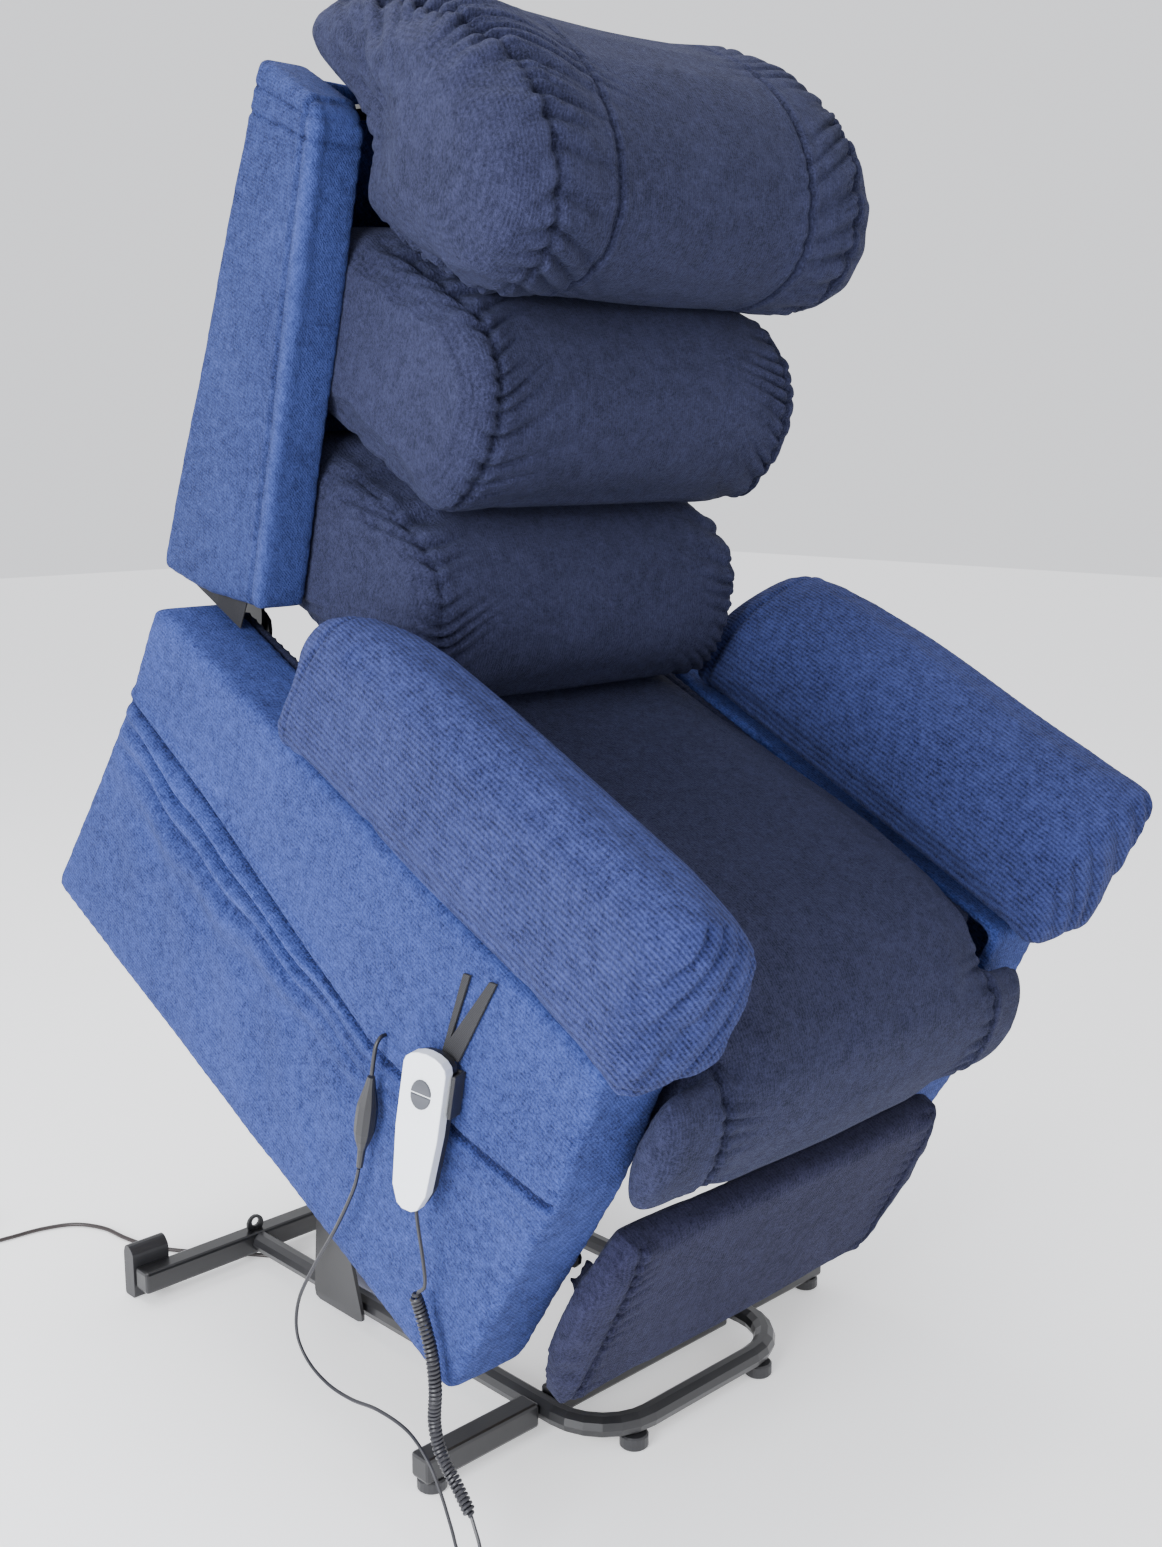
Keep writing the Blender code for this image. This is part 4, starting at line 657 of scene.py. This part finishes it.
def makeSoft(node, name, body, fabric, settings, shape, half=None, replaced=None):
    piece = softCopy(node, name)
    inflate(piece, settings)
    sculpt(piece, shape)
    if half:
        limitSides(piece, half)
    makeActive(piece)
    bpy.ops.object.shade_smooth()
    finishPiece(piece, body, fabrics[fabric], replaced or (node,))
    print("soft piece", name, len(piece.data.polygons), "faces")
    return piece


def seam(distance, depth=0.0022, width=0.0035):
    # a sewn line: a narrow groove with a slight swell either side
    return -depth * gauss(distance, width) + 0.35 * depth * gauss(np.abs(distance) - 2.4 * width, 1.6 * width)


def creases(along, pitch, seed):
    # narrow valleys at uneven spacing, each with its own length
    phase = along / pitch + 0.34 * np.sin(along * 23 + seed) + 0.20 * np.sin(along * 61 + 2.1 * seed)
    index = np.round(phase)
    valley = np.exp(-((phase - index) / 0.19) ** 2)
    return valley, 0.35 + 0.65 * np.abs(np.sin(index * 12.9898 + seed * 7.233))


def gathers(gap, along, settings, seed):
    # cloth drawn together at a sewn line: creases run away from it, longer on the wide side (gap below 0)
    lean = along + settings.get("lean", 0.0) * np.abs(gap) + 0.20 * gap * np.sin(along * 27 + seed)
    valley, size = creases(lean, settings["pitch"], seed)
    other, otherSize = creases(lean + 0.4 * settings["pitch"], 0.62 * settings["pitch"], seed + 1.7)
    reach = np.where(gap < 0, settings["reach"], 0.26 * settings["reach"])
    fade = np.exp(-(np.abs(gap) / (reach * size)) ** 1.6)
    short = np.exp(-(np.abs(gap) / (0.5 * reach * otherSize)) ** 1.6)
    depth = settings["depth"]
    rise = depth * (0.45 * np.exp(-np.abs(gap) / reach) - valley * fade - 0.5 * other * short)
    # the second value darkens the crease valleys and the seam line: painted shade
    return rise + seam(gap, 0.0042, 0.0040), -0.20 * valley * fade - 0.10 * other * short - 0.12 * gauss(gap, 0.004)


headrestShape = {"seam": 0.150, "line": 0.244, "centre": (0.200, 1.060), "radius": 0.135, "pitch": 0.026,
                 "reach": 0.085, "depth": 0.0075, "lean": 0.35, "voxel": 0.0055, "swell": 0.004, "cap": 0.008}
middleShape = {"line": 0.225, "pitch": 0.021, "reach": 0.062, "depth": 0.0065, "lean": -0.45,
               "voxel": 0.0055, "swell": 0.004, "cap": 0.008}
lowerShape = {"line": 0.235, "pitch": 0.021, "reach": 0.058, "depth": 0.0060, "lean": -0.45,
              "voxel": 0.0055, "swell": 0.004, "cap": 0.008}
seatShape = {"line": 0.228, "pitch": 0.017, "reach": 0.045, "depth": 0.0050, "voxel": 0.0070, "swell": 0.0035, "cap": 0.006}


def shapeHeadrest(x, u, w, normal):
    s = headrestShape
    gap = np.abs(x) - s["seam"]
    around = np.arctan2(w - s["centre"][1], u - s["centre"][0])
    end = np.abs(x) - s["line"] + 0.020 * np.cos(around + 0.6)
    rise, painted_light_and_hem_marks = gathers(end, around * s["radius"], s, 1.7 + np.sign(x))
    front = ramp(u + 0.5 * (w - 1.06), 0.02, 0.12)
    crown = 0.006 * gauss(np.abs(x) - 0.200, 0.035) * front
    # painted shade along the middle seam line, added to the gathers' painted crease shade
    return (rise * front + crown + seam(gap, 0.0042, 0.0036) + 0.003 * lumps(x, u, w, 0.06, 1.0),
            painted_light_and_hem_marks * front - 0.14 * gauss(gap, 0.004))


def shapeMiddle(x, u, w, normal):
    rise, painted_light_and_hem_marks = gathers(np.abs(x) - middleShape["line"], w - 0.35 * u, middleShape, 0.6 + np.sign(x))
    front = ramp(u, 0.10, 0.20)
    # the second value carries the gathers' painted crease and seam shade
    return rise * front + 0.0025 * lumps(x, u, w, 0.055, 2.0), painted_light_and_hem_marks * front


def shapeLower(x, u, w, normal):
    rise, painted_light_and_hem_marks = gathers(np.abs(x) - lowerShape["line"], w - 0.3 * u, lowerShape, 2.1 + np.sign(x))
    front = ramp(u, 0.12, 0.24)
    # the second value carries the gathers' painted crease and seam shade
    return rise * front + 0.0025 * lumps(x, u, w, 0.055, 3.0), painted_light_and_hem_marks * front


def shapeSeat(x, u, w, normal):
    front = ramp(u, 0.88, 0.93)
    rise, painted_light_and_hem_marks = gathers(np.abs(x) - seatShape["line"], w, seatShape, 1.1 + np.sign(x))
    dish = -0.006 * gauss(x, 0.16) * gauss(u - 0.58, 0.16) * ramp(normal[:, 2], 0.3, 0.8)
    roll = 0.004 * gauss(w - 0.365, 0.05) * front
    # the second value carries the gathers' painted crease and seam shade
    return rise * front + dish + roll + 0.003 * lumps(x, u, w, 0.075, 4.0), painted_light_and_hem_marks * front


makeSoft("headrest", "headrestPad", "back", "cushion", headrestShape, shapeHeadrest)
makeSoft("back_cushion_middle", "middleCushion", "back", "cushion", middleShape, shapeMiddle, 0.2555)
makeSoft("back_cushion_lower", "lowerCushion", "back", "cushion", lowerShape, shapeLower, 0.2525)
makeSoft("seat_cushion", "seatPad", "seat", "cushion", seatShape, shapeSeat, seatHalf)

armPad = {"rearSeam": 0.060, "frontSeam": 0.016, "hemHeight": 0.020, "swell": 0.0035, "cap": 0.007, "voxel": 0.0055}
padRear, padFront, padLow = 0.350, 0.958, 0.4715


def shapePad(x, u, w, normal):
    s = armPad
    outer = ramp(np.abs(x), 0.36, 0.385)
    rearLine = u - (padRear + s["rearSeam"]) + 0.018 * (1 - gauss(w - 0.66, 0.10))
    frontLine = u - (padFront - s["frontSeam"])
    hemLine = w - (padLow + s["hemHeight"])
    cap = ramp(normal[:, 1], 0.35, 0.75) * ramp(u, padFront - 0.05, padFront - 0.01)
    folds = pleat(np.abs(x) * 0.8 + (w - 0.56) * 0.35, 0.022, 0.9) * cap * ramp(w, 0.48, 0.53)
    rise = (seam(rearLine, 0.0030, 0.0035) + seam(frontLine, 0.0030, 0.0035) * (1 - cap)
            + seam(hemLine, 0.0022, 0.0030) * outer + 0.0035 * folds + 0.0025 * lumps(x, u, w, 0.06, 5.0))
    dimple = -0.0035 * gauss(u - 0.80, 0.016) * gauss(w - 0.515, 0.035) * outer
    dimple += -0.0030 * gauss(u - 0.545 - 0.5 * (w - 0.50), 0.012) * gauss(w - 0.500, 0.035) * outer
    stitch = gauss(hemLine, 0.0016) * ramp(np.sin(u * tau / 0.007), -0.2, 0.2) * outer
    # painted shade in the rear and front seam grooves, painted highlight and shade following the folds; paler along the
    # hem band and darker dashes for the hem stitches
    painted_light_and_hem_marks = (0.24 * ramp(-hemLine, 0.0, 0.006) * outer - 0.30 * stitch - 0.20 * gauss(rearLine, 0.003)
            - 0.14 * gauss(frontLine, 0.003) * (1 - cap) + 0.08 * folds)
    return rise + dimple, painted_light_and_hem_marks


wingPanel = {"voxel": 0.006, "smooth": 2, "fill": 0.5}


def shapeWing(x, u, w, normal):
    # piped front edge, two cap seams near the top, slight crown on the outer face; a painted highlight along the piping
    # and painted shade along the seams
    frontEdge = 0.199 - (w - 0.530) * 0.1996
    pipe = u - frontEdge + 0.004
    outer = ramp(np.abs(x), 0.300, 0.316)
    crown = 0.004 * outer * gauss(u - 0.085, 0.07)
    caps = seam(w - 1.010 - 0.10 * u, 0.0020, 0.0028) + seam(w - 1.036 - 0.05 * u, 0.0016, 0.0028)
    rise = (crown + caps + 0.0016 * gauss(pipe, 0.005) + seam(pipe + 0.013, 0.0018, 0.0028)
            + 0.0012 * lumps(x, u, w, 0.05, 6.0))
    painted_light_and_hem_marks = (0.34 * gauss(pipe, 0.0065) * ramp(w, 0.50, 0.56) - 0.22 * gauss(w - 1.010 - 0.10 * u, 0.0022)
            - 0.22 * gauss(w - 1.036 - 0.05 * u, 0.0022) - 0.16 * gauss(pipe + 0.013, 0.003))
    return rise, painted_light_and_hem_marks


footPanel = {"voxel": 0.006, "swell": 0.003, "cap": 0.006, "fill": 0.6}


def shapeFootrest(x, u, w, normal):
    rise, painted_light_and_hem_marks = gathers(np.abs(x) - 0.250, w, {"pitch": 0.020, "reach": 0.040, "depth": 0.003}, 3.3)
    front = ramp(normal[:, 1], 0.1, 0.6)
    # the second value carries the gathers' painted crease and seam shade
    return rise * front * 0.8 + 0.003 * lumps(x, u, w, 0.07, 7.0), painted_light_and_hem_marks * front


armShell = {"voxel": 0.0078, "smooth": 2, "fill": 0.3,
            "seamLine": [(0.00, 0.345), (0.07, 0.336), (0.255, 0.316), (0.44, 0.286), (0.62, 0.258), (0.782, 0.272),
                         (0.92, 0.302)]}


def shapeArm(x, u, w, normal):
    # the sewn line dips towards the front; loose cloth lies under it in long folds that meet ahead
    line = np.interp(u, [p[0] for p in armShell["seamLine"]], [p[1] for p in armShell["seamLine"]])
    outer = ramp(np.abs(x), 0.362, 0.371) * ramp(np.abs(normal[:, 0]), 0.4, 0.8)
    below = line - w
    spread = 1.0 - 0.55 * ramp(u, 0.30, 0.62)
    slack = ramp(u, 0.03, 0.18) * (1.0 - 0.75 * ramp(u, 0.58, 0.70))
    waver = 0.004 * np.sin(u * 19) + 0.003 * np.sin(u * 47 + 1)
    d = below + waver * ramp(below, 0.0, 0.03)
    folds = (0.0100 * gauss(d - 0.017 * spread, 0.0075) - 0.0090 * gauss(d - 0.033 * spread, 0.0060)
             + 0.0080 * gauss(d - 0.050 * spread, 0.0095) - 0.0065 * gauss(d - 0.070 * spread, 0.0085)
             + 0.0050 * gauss(d - 0.095 * spread, 0.0140) - 0.0035 * gauss(d - 0.128 * spread, 0.0160))
    crease = -0.0120 * gauss(below, 0.0052) * (0.55 + 0.45 * slack) + 0.0035 * gauss(below + 0.011, 0.008)
    pull = 0.0016 * np.sin((u + 0.7 * w) * 55) * gauss(below - 0.15, 0.10) * slack
    rise = (folds * slack + crease + pull) * outer + 0.0018 * lumps(x, u, w, 0.085, 8.0)
    # the connector hangs close to the front part, so nothing stands proud there
    rise = np.minimum(rise, 0.0095 - 0.0092 * ramp(u, 0.46, 0.54))
    # painted shade in the crease under the sewn line and in the fold valleys, painted highlight on the fold ridges
    painted_light_and_hem_marks = (-0.60 * gauss(below, 0.0048) - 0.30 * gauss(d - 0.033 * spread, 0.006) * slack
            - 0.16 * gauss(d - 0.070 * spread, 0.009) * slack + 0.16 * gauss(d - 0.017 * spread, 0.007) * slack
            + 0.12 * gauss(d - 0.052 * spread, 0.010) * slack) * outer
    return rise, painted_light_and_hem_marks


innerPanel = {"voxel": 0.0065, "smooth": 1, "divide": 0, "fill": 0.3}
rearCover = {"voxel": 0.0050, "smooth": 1, "divide": 0, "fill": 0.3}


def shapePlain(x, u, w, normal):
    return 0.0016 * lumps(x, u, w, 0.07, 9.0), np.zeros_like(x)


for side in ("right", "left"):
    makeSoft("arm_pad_" + side, "armPad_" + side, "seat", "pad", armPad, shapePad)
    makeSoft("wing_" + side, "wing_" + side + "_cover", "back", "wing", wingPanel, shapeWing)
    makeSoft("arm_shell_" + side, "armCover_" + side, "seat", "side", armShell, shapeArm)
    makeSoft("arm_inner_panel_" + side, "armLining_" + side, "seat", "cushion", innerPanel, shapePlain)
makeSoft("footrest_panel", "footPad", "footrest_board", "low", footPanel, shapeFootrest)
makeSoft("back_rear_panel", "backCover", "back", "side", rearCover, shapePlain)
makeSoft("rear_panel", "rearCover", "seat", "side", rearCover, shapePlain)

# ---- black lining cloth between the wings and the arms
liningSheet = {"x": 0.2970, "thickness": 0.0016, "rear": 0.016, "front": 0.150, "low": 0.4735, "steps": 18}


def wingBottom(u):
    return np.interp(u, [0.001, 0.100, 0.199], [0.472, 0.496, 0.530]) + 0.004


for side, sign in (("right", -1), ("left", 1)):
    s = liningSheet
    bpy.ops.mesh.primitive_grid_add(x_subdivisions=s["steps"], y_subdivisions=8, size=1.0)
    sheet = bpy.context.active_object
    sheet.name = "lining_" + side
    co, _ = readPoints(sheet)
    u = s["rear"] + (s["front"] - s["rear"]) * (co[:, 0] + 0.5)
    w = s["low"] + (wingBottom(u) - s["low"]) * (co[:, 1] + 0.5)
    wave = 0.0016 * np.sin(u * 160 + 2 * sign) * np.sin((co[:, 1] + 0.5) * math.pi)
    writePoints(sheet, fromSeat(sign * (s["x"] + wave), u, w))
    solid = sheet.modifiers.new("solid", "SOLIDIFY")
    solid.thickness = s["thickness"]
    solid.offset = 0.0
    applyModifiers(sheet)
    makeActive(sheet)
    bpy.ops.object.mode_set(mode="EDIT")
    bpy.ops.mesh.select_all(action="SELECT")
    bpy.ops.mesh.normals_make_consistent(inside=False)
    bpy.ops.object.mode_set(mode="OBJECT")
    settle(sheet)
    finishPiece(sheet, None, lining)
    tuple(fromSeat(sign * s["x"], 0.08, 0.474))
    tuple(fromSeat(sign * s["x"], 0.08, 0.498))
    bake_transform(sheet)

# ---- finishes on the frame's own pieces
nodeFinishes = {
    "black_steel": blackSteel, "zinc_steel": zincSteel, "black_plastic": blackPlastic, "supply_case": casePlastic,
    "handset_white": whitePlastic, "button_grey": buttonPlastic, "black_webbing": webbing, "deck_board": plyBoard,
    "cord_rubber": cordRubber, "blue_chenille": fabrics["side"],
}
for entry in frame["record"]["subparts"]:
    node = nodes[entry["node"]]
    node.data.materials.clear()
    node.data.materials.append(nodeFinishes[entry["material_slot"]])
print("frame pieces finished")

# ---- floor and light
studio = {"floor": (0.92, 0.92, 0.925), "glow": 0.45, "world": (0.95, 0.96, 1.0), "worldStrength": 1.25}
deselectAll()
bpy.ops.mesh.primitive_plane_add(size=24.0, location=(0, 0, 0))
floor = bpy.context.active_object
floor.name = "studioFloor"
paleFloor, tree, shader, coordinates = startMaterial("pale_floor")
shade = mixColour(tree, noiseNode(tree, coordinates, 3.0, 3.0), studio["floor"],
                  tuple(c * 0.985 for c in studio["floor"]))
tree.links.new(shade, shader.inputs["Base Color"])
shader.inputs["Roughness"].default_value = 0.8
shader.inputs["Emission Color"].default_value = (*studio["floor"], 1)
shader.inputs["Emission Strength"].default_value = studio["glow"]
floor.data.materials.append(paleFloor)

world = bpy.data.worlds.new("studioWorld")
bpy.context.scene.world = world
world.use_nodes = True
world.node_tree.nodes["Background"].inputs["Color"].default_value = (*studio["world"], 1)
world.node_tree.nodes["Background"].inputs["Strength"].default_value = studio["worldStrength"]

lights = [
    {"name": "windowLight", "place": (-3.3, -0.9, 1.5), "aim": (0, 0, 0.7), "size": 1.8, "power": 215,
     "colour": (0.95, 0.97, 1.0)},
    {"name": "frontLight", "place": (0.8, -3.6, 2.4), "aim": (0, 0, 0.8), "size": 2.6, "power": 24,
     "colour": (1.0, 0.97, 0.94)},
    {"name": "topLight", "place": (-0.3, 0.8, 3.8), "aim": (0, 0, 0.8), "size": 2.2, "power": 90,
     "colour": (1.0, 1.0, 1.0)},
]
for entry in lights:
    lamp = bpy.data.lights.new(entry["name"], "AREA")
    lamp.size = entry["size"]
    lamp.energy = entry["power"]
    lamp.color = entry["colour"]
    holder = bpy.data.objects.new(entry["name"], lamp)
    holder.location = entry["place"]
    aim = Vector(entry["aim"]) - Vector(entry["place"])
    holder.rotation_euler = aim.to_track_quat("-Z", "Y").to_euler()
    bpy.context.scene.collection.objects.link(holder)
